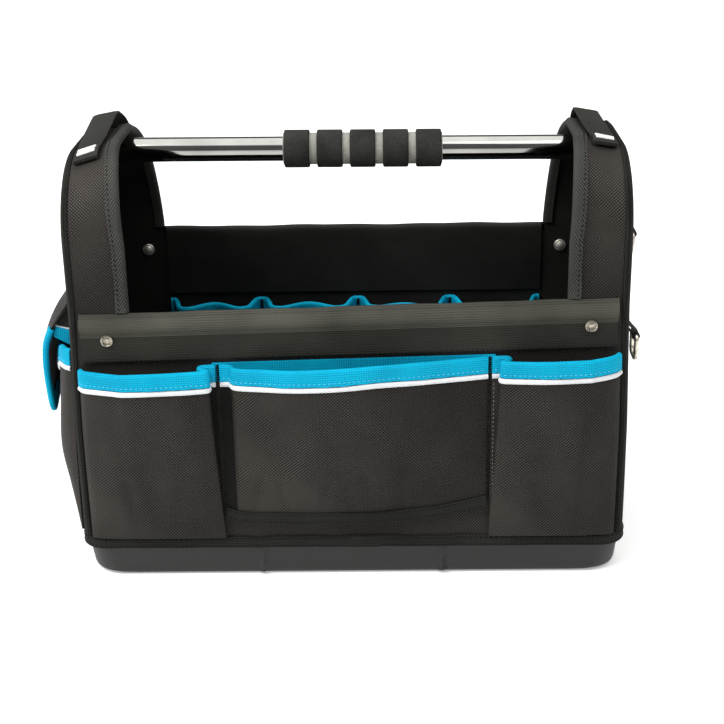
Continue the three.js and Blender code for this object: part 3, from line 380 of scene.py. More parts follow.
def thread_finish(name, tones):
    """Sewing thread: a slow tone change along the row, so that stitches differ a little from each other."""
    material = plain_finish(name, tones[0], 0.75)
    coords = node(material, "TexCoord").outputs["Object"]
    change = node(material, "TexNoise", Vector=coords, Scale=420.0).outputs["Fac"]
    return shade(material, Base_Color=toned(material, change, tones), Specular_IOR_Level=0.1)


def bag_loop(level, count):
    """The bag's outline at a level, walked in count steps, with its way out."""
    return rounded_loop(float(half_length(level)), HALF_DEPTH, float(seam_radius(level)), count)


def joined(parts):
    """Several closed parts as one: their points in a row and their quads counted on."""
    starts = np.cumsum([0] + [len(p[0]) for p in parts[:-1]])
    return tuple(
        np.concatenate([p[k] + (start if k == 1 else 0) for p, start in zip(parts, starts)]) for k in range(4)
    )


def stitches(path, out, length=3.0, gap=1.6, radius=0.45):
    """Row of stitches: bent six-sided rods laid along a path, rising out of it and dipping in at both ends.

    out is the way out of the cloth, one for the whole path or one for each of its points.
    The other sizes, length, gap and radius, are those of one stitch."""
    far = far_along(path)
    middle = np.arange(length / 2 + gap, far[-1] - length / 2, length + gap)
    along = np.array([-0.5, -0.3, 0.3, 0.5]) * length
    rise = np.array([-0.9, 0.45, 0.45, -0.9])[:, None] * radius
    width = np.array([0.55, 1, 1, 0.55])[:, None, None] * radius
    at = middle[:, None] + along
    centre = read_at(path, far, at)
    up = read_at(np.broadcast_to(out, path.shape), far, at)
    side = unit(np.cross(centre[:, -1:] - centre[:, :1], up))
    turn = np.arange(6)[:, None] * np.pi / 3
    ring = np.cos(turn) * side[:, :, None] + np.sin(turn) * up[:, :, None]
    points = centre[:, :, None] + (rise * up)[:, :, None] + width * ring
    r, c = quads_over(4, 6, False, True)
    rod = (r * 6 + c % 6)
    lid = np.array([[0, 1, 2, 3], [0, 3, 4, 5]])
    rod = np.concatenate([rod, lid[:, ::-1], lid + 18])
    first = points[0].reshape(-1, 3) - points[0].reshape(-1, 3).mean(axis=0)
    rod = facing_out(first, rod, np.zeros((len(rod), 4, 2)), np.zeros(len(rod)))[1]
    quads = (rod[None] + 24 * np.arange(len(points))[:, None, None]).reshape(-1, 4)
    return points.reshape(-1, 3), quads, np.zeros((len(quads), 4, 2)), np.zeros(len(quads))


def base_tape_rings():
    """A rounded flat section carried round the bag; both edges wander by a slow wave of the path."""
    count = 520
    rings = []
    for level, height in BASE_TAPE_SECTION:
        z = BASE_TAPE_FOOT + (BASE_TAPE_TOP - BASE_TAPE_FOOT) * level
        outline, way = bag_loop(z, count)
        walk = np.arange(count) * 2 * np.pi / count
        wander = 0.35 * np.sin(19 * walk) + 0.25 * np.sin(43 * walk + 1)
        x, y = outline.T
        lap = 0.9 * soft_step(x, -2.5, -1.5) * (1 - soft_step(x, 24, 26)) * (y < 0)
        flat = outline + way * (height + lap * (height > 1))[:, None]
        rings.append(np.column_stack([flat, z + wander * (0.3 + level)]))
    return np.swapaxes(np.array(rings), 0, 1)


black_tape = threads("black_binding_tape", TAPE_TONES, ((0, 2.3, 1.0),), 0.5, 0.0004, 0.8)
black_thread = thread_finish("black_thread", THREAD_TONES)
add("base_tape", tube(base_tape_rings(), wrap=True), [black_tape], "base_binding")
base_rows = []
for level in (BASE_TAPE_FOOT + BASE_ROW_IN, BASE_TAPE_TOP - BASE_ROW_IN):
    loop, way = bag_loop(level, 700)
    line = np.column_stack([loop + way * (BASE_TAPE_HIGH - 0.15), np.full(len(loop), level)])
    base_rows.append(stitches(line, np.column_stack([way, np.zeros(len(loop))])))
add("base_tape_stitches", joined(base_rows), [black_thread])

# Front and back walls: laminated polyester, a coarse basket weave outside and a smooth black coating inside.
# Each is one panel between the corner seams, sewn to the tray at its foot and into the rim band at its top.
CLOTH, WALL_TOP = 2.4, 251.7
SEAM_TURN = math.radians(45)
SEAM_SPLIT = math.radians(1.5)
CLOTH_TONES = (0.0003, 0.0003, 0.0002), (0.052, 0.0452, 0.038)
CLOTH_GLOSS, BASKET = 0.17, ((48, 2.1, 1.0), (-42, 2.1, 0.75))
LINING_TONES = (0.003, 0.003, 0.0027), (0.032, 0.033, 0.029)


def normals_over(grid):
    """Way out of a grid: the cross product of its slopes along rows and down columns."""
    return unit(np.cross(np.gradient(grid, axis=1), np.gradient(grid, axis=0)))


def skin(face, back):
    """Closed sheet between a face grid and a back grid: quads on both, and a strip along each edge."""
    rows, columns = face.shape[:2]
    r, c = quads_over(rows, columns)
    uv = lengths_over(face)
    top = r * columns + c
    under = (top + rows * columns)[:, ::-1]
    number = np.arange(rows * columns).reshape(rows, columns)
    rim = np.concatenate([number[0, :-1], number[:-1, -1], number[-1, :0:-1], number[:0:-1, 0]])
    after = np.roll(rim, -1)
    edges = np.stack([after, rim, rim + rows * columns, after + rows * columns], -1)
    flat_uv = np.concatenate([uv.reshape(-1, 2)] * 2)
    quads = np.concatenate([top, under, edges])
    finish = np.repeat([0, 1, 0], [len(top), len(under), len(edges)])
    points = np.concatenate([face.reshape(-1, 3), back.reshape(-1, 3)])
    return facing_out(points, quads, flat_uv[quads], finish)


def laid(grid, low, high):
    """Sheet of cloth or tape between two heights over a grid, measured along the grid's way out."""
    out = normals_over(grid)
    heights = [np.asarray(h, float) * np.ones(grid.shape[:2]) for h in (high, low)]
    return skin(*(grid + out * h[..., None] for h in heights))


def corner(stations, turns):
    """Points of the rounded corner beside an outline, from facing out of the strip to a quarter turn further.

    stations holds y, z and the way out in Y and Z; turns has one row for each station."""
    y, z, out_y, out_z = (column[:, None] for column in stations.T)
    radius = seam_radius(z)
    inward = radius * (1 - np.cos(turns))
    x = half_length(z) - radius + radius * np.sin(turns)
    return np.stack(np.broadcast_arrays(x, y - out_y * inward, z - out_z * inward), -1)


def long_wall():
    """Front wall, foot to top: both rounded corners up to the seam, and a flat panel between them."""
    levels = np.linspace(WALL_FOOT, WALL_TOP, 30)
    stations = np.column_stack([np.full(30, -HALF_DEPTH), levels, np.full(30, -1.0), np.zeros(30)])
    turns = np.broadcast_to(np.linspace(SEAM_TURN - 2 * SEAM_SPLIT, 0, 7), (30, 7))
    right = corner(stations, turns)
    left = right * (-1, 1, 1)
    share = np.linspace(0, 1, 62)[1:-1, None]
    flat = left[:, None, -1] * (1 - share) + right[:, None, -1] * share
    return np.concatenate([left, flat, right[:, ::-1]], axis=1)


def bag_cloth(name, tones, fade=None):
    """The bag's cloth: a basket weave with little loose fibre and the faint gloss of its laminate."""
    return threads(name, tones, BASKET, 0.08, 0.0007, 0.6, 0.1, CLOTH_GLOSS, fade)


cloth = bag_cloth("woven_black_cloth", CLOTH_TONES)
lining = threads("coated_lining", LINING_TONES, ((45, 2.2, 1.0), (-45, 2.2, 1.0)), 0.35, 0.00015, 0.6, 0.4)
for side, sign in (("front", 1), ("back", -1)):
    panel = laid(long_wall() * (sign, sign, 1), -CLOTH, 0)
    add(f"{side}_wall_cloth", panel, [cloth, lining], f"{side}_wall")

# End walls: the same cloth cut as tall arches with the tighter shoulder in front, bulging at mid height.
# Each meets the front, the back and its arch strip in one seam that runs up, over and down.
ENDS = (("left", -1), ("right", 1))
ARCH_TOP, ARCH_FRONT, ARCH_BACK = 385.0, 70.0, 118.0
END_BULGE = 16.5
END_ROWS_LEG, END_ROWS_ARCH = 30, 18


def corner_drop(beyond, radius):
    """Fall of a rounded edge beyond the place where its arc starts: radius less the arc's height there."""
    beyond = np.maximum(beyond, 0)
    return radius - np.sqrt(np.maximum(radius**2 - beyond**2, 0))


def end_half_width(y, level):
    """Half of the end's width at a level: full on the legs, and closing along either shoulder."""
    radius = np.where(np.asarray(y) < 0, ARCH_FRONT, ARCH_BACK)
    return HALF_DEPTH - corner_drop(level - (ARCH_TOP - radius), radius)


def end_bulge(y, level):
    """Bulge of the end wall: (1 - side^2)^2 across, times (4 up (1 - up))^2 up the wall."""
    up = np.clip((level - WALL_FOOT) / (ARCH_TOP - WALL_FOOT), 0, 1)
    side = np.minimum(1, np.abs(y) / np.maximum(end_half_width(y, level) - SEAM_RADIUS - 4, 1e-6))
    return END_BULGE * (1 - side**2) ** 2 * (4 * up * (1 - up)) ** 2


def shoulder(radius, sign, turns):
    """Stations on the front (sign -1) or back shoulder of the arch, at turns from level to upright."""
    out_y, out_z = sign * np.cos(turns), np.sin(turns)
    y = sign * (HALF_DEPTH - radius) + radius * out_y
    return np.column_stack([y, ARCH_TOP - radius + radius * out_z, out_y, out_z])


def leg(sign, low, high, count):
    """Stations up a straight leg of the arch, front (sign -1) or back."""
    y, levels = np.full(count, sign * HALF_DEPTH), np.linspace(low, high, count)
    return np.column_stack([y, levels, np.full(count, sign), np.zeros(count)])


def half_outline(radius, sign, foot, rows_leg, rows_arch):
    """One half of the end's outline, from its foot up the leg and round the shoulder to the crown."""
    straight = leg(float(sign), foot, ARCH_TOP - radius, rows_leg)
    return np.vstack([straight, shoulder(radius, sign, np.linspace(0, np.pi / 2, rows_arch + 1)[1:])])


def end_panel():
    """Right end wall: front and back outlines joined row by row, bulged, with folds that fade at the seam."""
    front = half_outline(ARCH_FRONT, -1, WALL_FOOT, END_ROWS_LEG, END_ROWS_ARCH)
    back = half_outline(ARCH_BACK, 1, WALL_FOOT, END_ROWS_LEG, END_ROWS_ARCH)
    turns = np.linspace(SEAM_TURN + 2 * SEAM_SPLIT, np.pi / 2, 7)
    front_edge, back_edge = (corner(s, np.broadcast_to(turns, (len(s), 7))) for s in (front, back))
    share = np.linspace(0, 1, 44)[1:-1, None]
    across = front_edge[:, None, -1] * (1 - share) + back_edge[:, None, -1] * share
    y, z = across[..., 1], across[..., 2]
    edge = np.sin(np.pi * share[:, 0]) ** 2
    folds = 1.1 * np.sin(y / 21 + 0.012 * z + 1.2) + 0.8 * np.sin(y / 11 - z / 60) * soft_step(z, 40, 90)
    across[..., 0] = half_length(z) + end_bulge(y, z) + folds * edge * (1 - soft_step(z, 300, 375))
    return np.concatenate([front_edge, across, back_edge[:, ::-1]], axis=1)


def mirrored(part, sign):
    """The same part, with its X turned over where sign is -1."""
    return facing_out(part[0] * (sign, 1, 1), *part[1:])


for side, sign in ENDS:
    panel = mirrored(laid(end_panel(), -CLOTH, 0), sign)
    add(f"{side}_end_cloth", panel, [cloth, lining], f"{side}_end_wall")

# Arch strips: a strip of cloth runs up the front of each end, over the arch and down the back.
# Its inner edge is bound with folded tape, and a tape covers the corner seam with the end wall.
STRIP_INNER, STRIP_FLAT, STRIP_FOOT = 189.3, 227.0, 252.0
# Turn round the outline in degrees, and the lean and the lift of the inner edge there.
STRIP_AROUND = (0, 36, 60, 80, 90, 106, 150, 180)
STRIP_LEAN = (0, 2.5, 5, 7, 9, 10.5, 7, 3)
STRIP_LIFT = (0, 10, 12, 8.5, 5.5, 0.5, 1, 0)
TAPE = 1.2
ARCH_TAPE_FACE, ARCH_TAPE_BACK, ARCH_TAPE_GAP = 9.0, 7.0, 0.8
ARCH_TAPE_CLOTH, ARCH_TAPE_OUTER, ARCH_ROW = 3.4, 200.0, 6.6
ARCH_STITCH, CORNER_STITCH = (2.0, 2.4, 0.55), (2.2, 2.4, 0.4)
SEAM_REACH_FRONT, SEAM_REACH_END, SEAM_FOOT = 3.2, 9.0, 41.4
RIM_TOP, FRONT_SLANT = 261.2, 5.2
# Painted light: the strips' cloth has lighter tones than the walls' and darkens evenly towards both feet, to
# 0.42 of its tone, as light from above falls on the arch tops; the walk along the outline turns back at 217
# mm.
STRIP_TONES = CLOTH_TONES[0], (0.083, 0.0725, 0.061)
STRIP_PAINTED_LIGHT = ("Y", 217.0, 8.0, 115.0, 0.42, 1.0)
GREY_TAPE_TONES = (0.001, 0.001, 0.0009), (0.092, 0.0925, 0.083)


def through(points, count):
    """Centripetal curve through a few points, walked in even steps: three rounds of means by knots."""
    p = np.asarray(points, float)
    p = np.vstack([2 * p[0] - p[1], p, 2 * p[-1] - p[-2]])
    knots = np.concatenate([[0], np.cumsum(np.linalg.norm(np.diff(p, axis=0), axis=1) ** 0.5)])
    t = np.linspace(knots[1], knots[-2], 60 * len(points))
    i = np.clip(np.searchsorted(knots, t, side="right") - 1, 1, len(p) - 3)

    def mean(a, b, low, high):
        """Weighted mean of two points at t, between the knots low and high."""
        start, end = knots[i + low], knots[i + high]
        weight = ((t - start) / (end - start))[:, None]
        return a * (1 - weight) + b * weight

    first = [mean(p[i + k], p[i + k + 1], k, k + 1) for k in (-1, 0, 1)]
    second = [mean(first[k + 1], first[k + 2], k, k + 2) for k in (-1, 0)]
    line = mean(second[0], second[1], 0, 1)
    far = far_along(line)
    return read_at(line, far, np.linspace(0, far[-1], count))


def smooth_value(across, values, at, count=240):
    """A short table read as a smooth curve at the given places."""
    scale = np.ptp(across) / max(np.ptp(values), 1e-6)
    line = through(np.column_stack([across, np.array(values, float) * scale]), count)
    return np.interp(at, line[:, 0], line[:, 1] / scale)


def front_slant(x):
    """Rise of the front rim and its pockets from left to right, in a straight line."""
    return FRONT_SLANT * x / HALF_LENGTH


def crown(count):
    """Stations on the level top of the arch, between its two shoulders."""
    y = np.linspace(ARCH_FRONT - HALF_DEPTH, HALF_DEPTH - ARCH_BACK, count + 2)[1:-1]
    return np.column_stack([y, np.full(count, ARCH_TOP), np.zeros(count), np.ones(count)])


def outline_stations(front_foot, back_foot):
    """The whole outline of an end: up the front leg, over both shoulders and the crown, and down the back."""
    halves = []
    for radius, sign, foot, rows_arch in ((ARCH_FRONT, -1, front_foot, 20), (ARCH_BACK, 1, back_foot, 30)):
        rows_leg = 12 + int((ARCH_TOP - radius - foot) / 9)
        halves.append(half_outline(radius, sign, foot, rows_leg, rows_arch))
    return np.vstack([halves[0], crown(12), halves[1][::-1]])


def way_out(stations):
    """The outline's way out at each station, in X, Y and Z."""
    return np.column_stack([np.zeros(len(stations)), stations[:, 2:]])


def strip_edge(stations):
    """Inner edge of the strip and its lift there, read by the turn from the front over the top."""
    around = np.degrees(np.arctan2(stations[:, 3], -stations[:, 2]))
    lean, lift = (smooth_value(STRIP_AROUND, column, around) for column in (STRIP_LEAN, STRIP_LIFT))
    return STRIP_INNER + lean, lift


def strip_at(stations, x):
    """Points of the strip: it leans out in a straight line from the corner to its lifted inner edge."""
    inner, lift = (column[:, None] for column in strip_edge(stations))
    y, z, out_y, out_z = (column[:, None] for column in stations.T)
    rise = lift * (STRIP_FLAT - x) / (STRIP_FLAT - inner)
    return np.stack(np.broadcast_arrays(x, y + out_y * rise, z + out_z * rise), -1)


def arch_strip():
    """Strip from its inner edge to the corner seam, along the outline, with a slight hollow across it."""
    stations = outline_stations(STRIP_FOOT, STRIP_FOOT)
    inner = strip_edge(stations)[0][:, None]
    share = np.linspace(0, 1, 9)
    flat = strip_at(stations, inner + (STRIP_FLAT - inner) * share)
    hollow = 0.7 * np.sin(np.pi * share) ** 2 * np.sin(np.linspace(0, 9, len(stations)))[:, None] ** 2
    flat -= hollow[..., None] * way_out(stations)[:, None]
    turns = np.broadcast_to(np.linspace(0, SEAM_TURN - 2 * SEAM_SPLIT, 6), (len(stations), 6))
    return np.concatenate([flat, corner(stations, turns)], axis=1)


def folded_tape(at, edge, face, cloth_thick, face_leg, back_leg, gap, wander):
    """Tape folded over a cloth edge: a leg on the face, a half round past the edge, and a leg on the back.

    at is the edge on the cloth's face, edge points out of it and face out of the cloth."""
    turns = np.linspace(np.pi / 2, -np.pi / 2, 9)
    walk = np.arange(len(at))
    reach = face_leg + wander * (np.sin(walk * 0.61) + 0.7 * np.sin(walk * 0.27 + 2))

    def layer(height):
        """The tape's section at one height over the cloth, carried along the edge."""
        radius = cloth_thick / 2 + height
        bend_e = -cloth_thick / 2 + radius * np.cos(turns)
        bend_f = -cloth_thick / 2 + radius * np.sin(turns)
        face_e = -reach[:, None] + (reach[:, None] + bend_e[0]) * np.linspace(0, 1, 6)[:-1]
        back_e = bend_e[-1] + (-back_leg - bend_e[-1]) * np.linspace(0, 1, 4)[1:]
        rest_e = np.broadcast_to(np.concatenate([bend_e, back_e]), (len(at), 12))
        e = np.concatenate([face_e, rest_e], axis=1)
        f = np.concatenate([np.full(5, height), bend_f, np.full(3, -cloth_thick - height)])
        return at[:, None] + edge[:, None] * e[..., None] + face[:, None] * f[:, None]

    return skin(layer(gap + TAPE), layer(gap))


def arch_tape(front_foot, back_foot):
    """Binding of the strip's inner edge and the line of its stitches."""
    stations = outline_stations(front_foot, back_foot)
    inner = strip_edge(stations)[0][:, None]
    rim = strip_at(stations, inner + np.array([0, ARCH_TAPE_FACE]))
    edge = unit(rim[:, 0] - rim[:, 1])
    face = -normals_over(rim)[:, 0]
    face *= np.sign(np.sum(face[:, 1:] * stations[:, 2:], axis=1))[:, None]
    legs = ARCH_TAPE_FACE, ARCH_TAPE_BACK, ARCH_TAPE_GAP
    tape = folded_tape(rim[:, 0], edge, face, ARCH_TAPE_CLOTH, *legs, 0.25)
    line = rim[:, 0] - ARCH_ROW * edge + (ARCH_TAPE_GAP + TAPE - THREAD_SUNK) * face
    return tape, stitches(line, face, *ARCH_STITCH)


def seam_tape():
    """Tape over the corner seam: carried along the outline, domed across, and flat past the quarter turn."""
    stations = outline_stations(SEAM_FOOT, SEAM_FOOT)
    share = np.linspace(-1, 1, 25)
    reach = np.where(share < 0, SEAM_REACH_FRONT, SEAM_REACH_END) * share
    radius = seam_radius(stations[:, 1])[:, None]
    turns = SEAM_TURN + reach / radius
    over = np.maximum(0, turns - np.pi / 2) * radius
    grid = corner(stations, np.minimum(turns, np.pi / 2))
    grid -= over[..., None] * way_out(stations)[:, None]
    heights = 0.5 + 2.0 * (1 - np.abs(share) ** 5) ** 0.5 - 1.1 * np.exp(-(((share + 0.3) / 0.14) ** 2))
    tape = laid(grid, 0.4, heights)
    way = normals_over(grid)
    row = grid[:, 4] + (heights[4] - 0.2) * way[:, 4]
    return tape, stitches(row, way[:, 4], *CORNER_STITCH)


# Strip cloth with painted light: lighter over the arch, darker near the feet.
strip_cloth = bag_cloth("strip_cloth_painted_top_light", STRIP_TONES, STRIP_PAINTED_LIGHT)
grey_weave = ((35, 2.1, 1.0), (-50, 2.1, 0.6))
grey_tape = threads("worn_binding_tape", GREY_TAPE_TONES, grey_weave, 0.3, 0.0004, 0.85)
for side, sign in ENDS:
    front_foot = RIM_TOP + max(front_slant(sign * x) for x in (STRIP_INNER, ARCH_TAPE_OUTER))
    parts = (laid(arch_strip(), -CLOTH, 0), *arch_tape(front_foot, RIM_TOP), *seam_tape())
    strip, edge_tape, edge_rows, corner_tape, corner_rows = (mirrored(part, sign) for part in parts)
    add(f"{side}_arch_strip_cloth", strip, [strip_cloth, lining], f"{side}_arch_strip")
    add(f"{side}_arch_edge_tape", edge_tape, [grey_tape] * 2, f"{side}_arch_binding")
    add(f"{side}_corner_tape", corner_tape, [black_tape] * 2, f"{side}_end_binding")
    add(f"{side}_arch_edge_stitches", edge_rows, [black_thread])
    add(f"{side}_corner_stitches", corner_rows, [black_thread])

# Back facings: inside, the foot of each arch strip runs on down the back wall.
# It is a plain strip of lining with grey tape laid flat over its inner edge.
FACING_FOOT, FACING_TOP, FACING_OUTER, FACING_TAPE = 64.0, 254.0, 228.0, 9.0
WALL_INSIDE = HALF_DEPTH - CLOTH

for side, sign in ENDS:
    levels = np.linspace(FACING_FOOT, FACING_TOP, 60)[:, None]
    inner = STRIP_INNER + 3 + 0.4 * np.sin(levels / 17)
    for name, low, high, across, finish, slot in (
        ("back_facing", 0.1, 0.9, FACING_OUTER - inner, lining, "black_cloth"),
        ("back_facing_tape", 1.0, 2.2, FACING_TAPE, grey_tape, "black_tape"),
    ):
        x = sign * (inner + across * np.linspace(0, 1, 8))
        grid = np.stack(np.broadcast_arrays(x, WALL_INSIDE, levels), -1)
        part = laid(grid, *((low, high) if sign < 0 else (-high, -low)))
        add(f"{side}_{name}", part, [finish] * 2)

# Rim bands: wide ribbed webbing laid over the rim of the front and the back, rolled at the top.
# It is tucked inside and held by a row of stitches; the front one hangs a little lower on the left.
BAND_END, BAND_FOLD_END = 231.0, 189.0
# Distance out of the wall, and level.
BAND_OUTSIDE = (
    (2.3, 217), (2.3, 231), (2.5, 239), (3.9, 243.5), (5.6, 247), (5.9, 250), (5.0, 254), (3.4, 257.6),
    (1.7, 259.8), (0.3, 260.6),
)
BAND_FOLD = ((0.3, 260.6), (-2.4, 260.2), (-4.2, 258.4), (-4.8, 255.5), (-4.8, 240), (-4.8, 215), (-4.8, 191))
BAND_STEPS, BAND_ROW, BAND_THICK = 44, 1, 2.0
# Painted light on the rolled top: band rows above ROLL_FOOT take a lighter webbing, and rows from
# ROLL_LIGHT_FROM to ROLL_LIGHT_TO a lighter one still, as the roll faces the light above.
ROLL_FOOT, ROLL_LIGHT_FROM, ROLL_LIGHT_TO = 239.0, 244.5, 256.0
RIBS = ((90, 2.2, 0.8), (0, 3.0, 0.25))
FRONT_WAY, BAND_STITCH = (0.0, -1.0, 0.0), (2.2, 2.2, 0.35)
ROLL_EDGE_LIT_TONES = (0.004, 0.004, 0.0033), (0.08, 0.078, 0.064)
ROLL_TOP_LIT_TONES = (0.007, 0.007, 0.0056), (0.1, 0.0965, 0.0765)
WEBBING_TONES = (0.001, 0.001, 0.0008), (0.036, 0.0352, 0.0285)


def band_sheet(section, from_x, to_x, slope):
    """Webbing drawn along X: its section offset by its thickness, sheared by the slope, with a ripple."""
    line = through(section, BAND_STEPS)
    slope_line = np.gradient(line, axis=0)
    inward = unit(np.column_stack([-slope_line[:, 1], slope_line[:, 0]]))
    x = np.linspace(from_x, to_x, int((to_x - from_x) / 4))
    roll_share = soft_step(line[:, 1], 240, 252)
    ripple = 0.45 * np.sin(x / 23) + 0.35 * np.sin(x / 9.5 + 2)

    def layer(offset):
        """The section at one depth inside the webbing, placed along X."""
        out, level = (line + offset * inward).T
        y = -HALF_DEPTH - out[:, None] - 0.25 * ripple * roll_share[:, None]
        z = level[:, None] + slope * front_slant(x) + 0.7 * ripple * roll_share[:, None]
        return np.stack(np.broadcast_arrays(x, y, z), -1)

    return skin(layer(0), layer(BAND_THICK)), layer(0)


webbing = threads("ribbed_rim_webbing", WEBBING_TONES, RIBS, 0.6, 0.0005, 0.75)
# Two lighter copies of the webbing carry the painted light on the roll.
edge_lit_webbing = threads("rim_webbing_painted_half_light", ROLL_EDGE_LIT_TONES, RIBS, 0.6, 0.0005, 0.75)
top_lit_webbing = threads("rim_webbing_painted_top_light", ROLL_TOP_LIT_TONES, RIBS, 0.65, 0.0005, 0.72, 0.3)
for side, sign, slope in (("front", 1, 1), ("back", -1, 0)):
    outside, face = band_sheet(BAND_OUTSIDE, -BAND_END, BAND_END, slope)
    tucked, _ = band_sheet(BAND_FOLD, -BAND_FOLD_END, BAND_FOLD_END, slope)
    level = through(BAND_OUTSIDE, BAND_STEPS)[:-1, 1]
    # Finish of each band row by height: plain webbing, half painted light, full painted light.
    lit_rows = 2 * (level > ROLL_FOOT) + ((level > ROLL_LIGHT_FROM) & (level < ROLL_LIGHT_TO))
    strips = face.shape[1] - 1
    outside[3][: len(level) * strips] = np.repeat(lit_rows, strips)
    tucked[3][:] = 1
    band = joined([outside, tucked])
    rows = stitches(face[BAND_ROW] + (0, -THREAD_SUNK, 0), FRONT_WAY, *BAND_STITCH)
    band_finishes = [webbing, lining, edge_lit_webbing, top_lit_webbing]
    for name, part, finishes, cad_node in (
        ("rim_webbing", band, band_finishes, f"{side}_band"),
        ("rim_stitches", rows, [black_thread], None),
    ):
        add(f"{side}_{name}", (part[0] * (sign, sign, 1), *part[1:]), finishes, cad_node)

# Rivets: turned two-part steel rivets through the band and the wall at the foot of each arch strip.
# Outside they show as a flat ring with a sunk middle, inside as a domed cap.
RIVET_X, RIVET_LEVEL = 208.0, 237.0
# Radius and distance out of the wall, from the outer face to the inner cap.
RIVET_SECTION = (
    (0.01, 3.3), (1.4, 3.3), (2.5, 3.2), (3.0, 2.8), (3.4, 2.9), (3.8, 4.0), (4.5, 4.4), (5.2, 4.15),
    (5.6, 3.5), (5.6, 2.7), (5.0, 2.5), (2.8, 2.5), (2.8, -2.6), (5.8, -2.7), (6.0, -3.5), (5.4, -4.3),
    (4.4, -4.2), (4.0, -4.4), (3.5, -5.6), (1.8, -6.4), (0.01, -6.6),
)
STEEL_TONES = (0.38, 0.35, 0.29), (0.75, 0.71, 0.62)
RIVET_TONES = (0.16, 0.145, 0.115), (0.5, 0.46, 0.38)
# Painted highlight: the caps seen inside the back are painted far paler than the front rivets, so that they
# read bright against the dim inside.
RIVET_CAP_LIT_TONES = (0.75, 0.71, 0.62), (0.96, 0.93, 0.86)


def turned(section, count, x, level):
    """Turned piece: a section of radius and Y, spun round its axis; each end closes on a tiny lid."""
    radius, y = np.array(section, float).T[..., None]
    angle = np.arange(count) * 2 * np.pi / count
    points = np.broadcast_arrays(x + radius * np.cos(angle), y, level + radius * np.sin(angle))
    return tube(np.stack(points, -1))


def worn_metal(name, tones, roughness, scale):
    """Bright metal with fine rubbing: noise clouds dull it and darken it in patches."""
    material = plain_finish(name, tones[1], roughness, 1.0)
    coords = node(material, "TexCoord").outputs["Object"]
    rub = node(material, "TexNoise", Vector=coords, Scale=scale, Detail=5.0).outputs["Fac"]
    share = node(material, "MapRange", _0=rub, _1=0.35, _2=0.62).outputs[0]
    dull = node(material, "MapRange", _0=rub, _3=roughness + 0.08, _4=roughness - 0.04).outputs[0]
    return shade(material, Base_Color=toned(material, share, tones), Roughness=dull)


steel = worn_metal("plain_steel_wire", STEEL_TONES, 0.36, 260.0)
rivet_steel = worn_metal("dark_rivet_steel", RIVET_TONES, 0.34, 900.0)
# Back rivet caps: pale steel with a painted highlight.
lit_cap_steel = worn_metal("rivet_cap_steel_painted_highlight", RIVET_CAP_LIT_TONES, 0.55, 260.0)
for side, sign, finish in (("front", -1, rivet_steel), ("back", 1, lit_cap_steel)):
    section = [(radius, sign * (HALF_DEPTH + out)) for radius, out in RIVET_SECTION]
    for end, x in (("left", -RIVET_X), ("right", RIVET_X)):
        level = RIVET_LEVEL + (front_slant(x) if side == "front" else 0)
        rivet = turned(section, 36, x, level)
        add(f"{side}_{end}_rivet_turned", rivet, [finish], f"{side}_{end}_rivet")

# Handle: a chromed steel tube whose ends sit in two plastic cups on the inside of the end walls.
# Over its middle is a grey sleeve with five rings of black foam.
TUBE_LEVEL, TUBE_LEVEL_AT, TUBE_TILT = 369.0, -150.0, 0.006
TUBE_RADIUS, TUBE_BORE, TUBE_HALF = 11.1, 9.8, 232.0
SOCKET_RADIUS, SOCKET_PLATE, SOCKET_DEPTH, SOCKET_DROP, SOCKET_TOP = 12.6, 3.0, 15.0, 24.0, 8.0
GRIP_MIDDLE, CORE_RADIUS, GRIP_RADIUS = 13.0, 14.2, 17.0
GRIP_RINGS, GRIP_RING, GRIP_GROOVE = 5, 23.0, 6.7
CHROME_TONES = (0.27, 0.27, 0.255), (0.33, 0.33, 0.31)
FOAM_TONES = (0.006, 0.006, 0.0055), (0.03, 0.03, 0.0265)
GROOVE_TONES = (0.17, 0.168, 0.145), (0.3, 0.295, 0.26)
SOCKET_TONES = (0.012, 0.012, 0.0125), (0.026, 0.026, 0.027)
SLEEVE_GAP = 0.3


def sleeve(section, count=72):
    """A closed ring section of radius and X, spun round the handle's axis."""
    radius, x = np.array(section, float).T
    angle = np.arange(count) * 2 * np.pi / count
    y = radius[:, None] * np.cos(angle)
    z = TUBE_LEVEL - TUBE_TILT * (x[:, None] - TUBE_LEVEL_AT) + radius[:, None] * np.sin(angle)
    return tube(np.stack(np.broadcast_arrays(x[:, None], y, z), -1), wrap=True)


def ring_section(inner, outer, from_x, to_x, rounded, steps=5):
    """Section of a sleeve: a rectangle whose two outer corners are quarter rounds."""
    turn = np.linspace(0, np.pi / 2, steps)
    sine, cosine = rounded * np.sin(turn), rounded * np.cos(turn)
    first = np.column_stack([outer - rounded + sine, from_x + rounded - cosine])
    second = np.column_stack([outer - rounded + cosine, to_x - rounded + sine])
    walls = [[inner, to_x], [inner, (from_x + to_x) / 2], [inner, from_x]]
    return np.vstack([first, second, walls])


def socket_part(sign):
    """Cup for one end of the tube: a collar round it, and a rounded plate against the end wall."""
    face = HALF_LENGTH - CLOTH - SLEEVE_GAP
    plate = face - SOCKET_PLATE
    collar = ring_section(TUBE_RADIUS + SLEEVE_GAP, SOCKET_RADIUS + 0.9, face - SOCKET_DEPTH, plate, 1.1)
    half_height = (SOCKET_DROP + SOCKET_TOP) / 2
    middle = TUBE_LEVEL - SOCKET_DROP + half_height
    rings = []
    for x, inset in ((0, 6), (0, 0.6), (0.5, 0), (2.4, 0), (3, 0.6), (3, 6)):
        outline, _ = rounded_loop(SOCKET_RADIUS - inset, half_height - inset, max(5 - inset, 0.8), 48)
        rings.append(np.column_stack([np.full(48, plate + x), outline[:, 0], middle + outline[:, 1]]))
    return mirrored(joined([sleeve(collar, 48), tube(np.array(rings))]), sign)


def foam_finish():
    """Closed-cell foam: fine cells as noise bumps and a faint dusty bloom, with next to no gloss."""
    return shade(grained_plastic("black_foam", FOAM_TONES, 0.86, 900.0, 0.0003), Specular_IOR_Level=0.25)


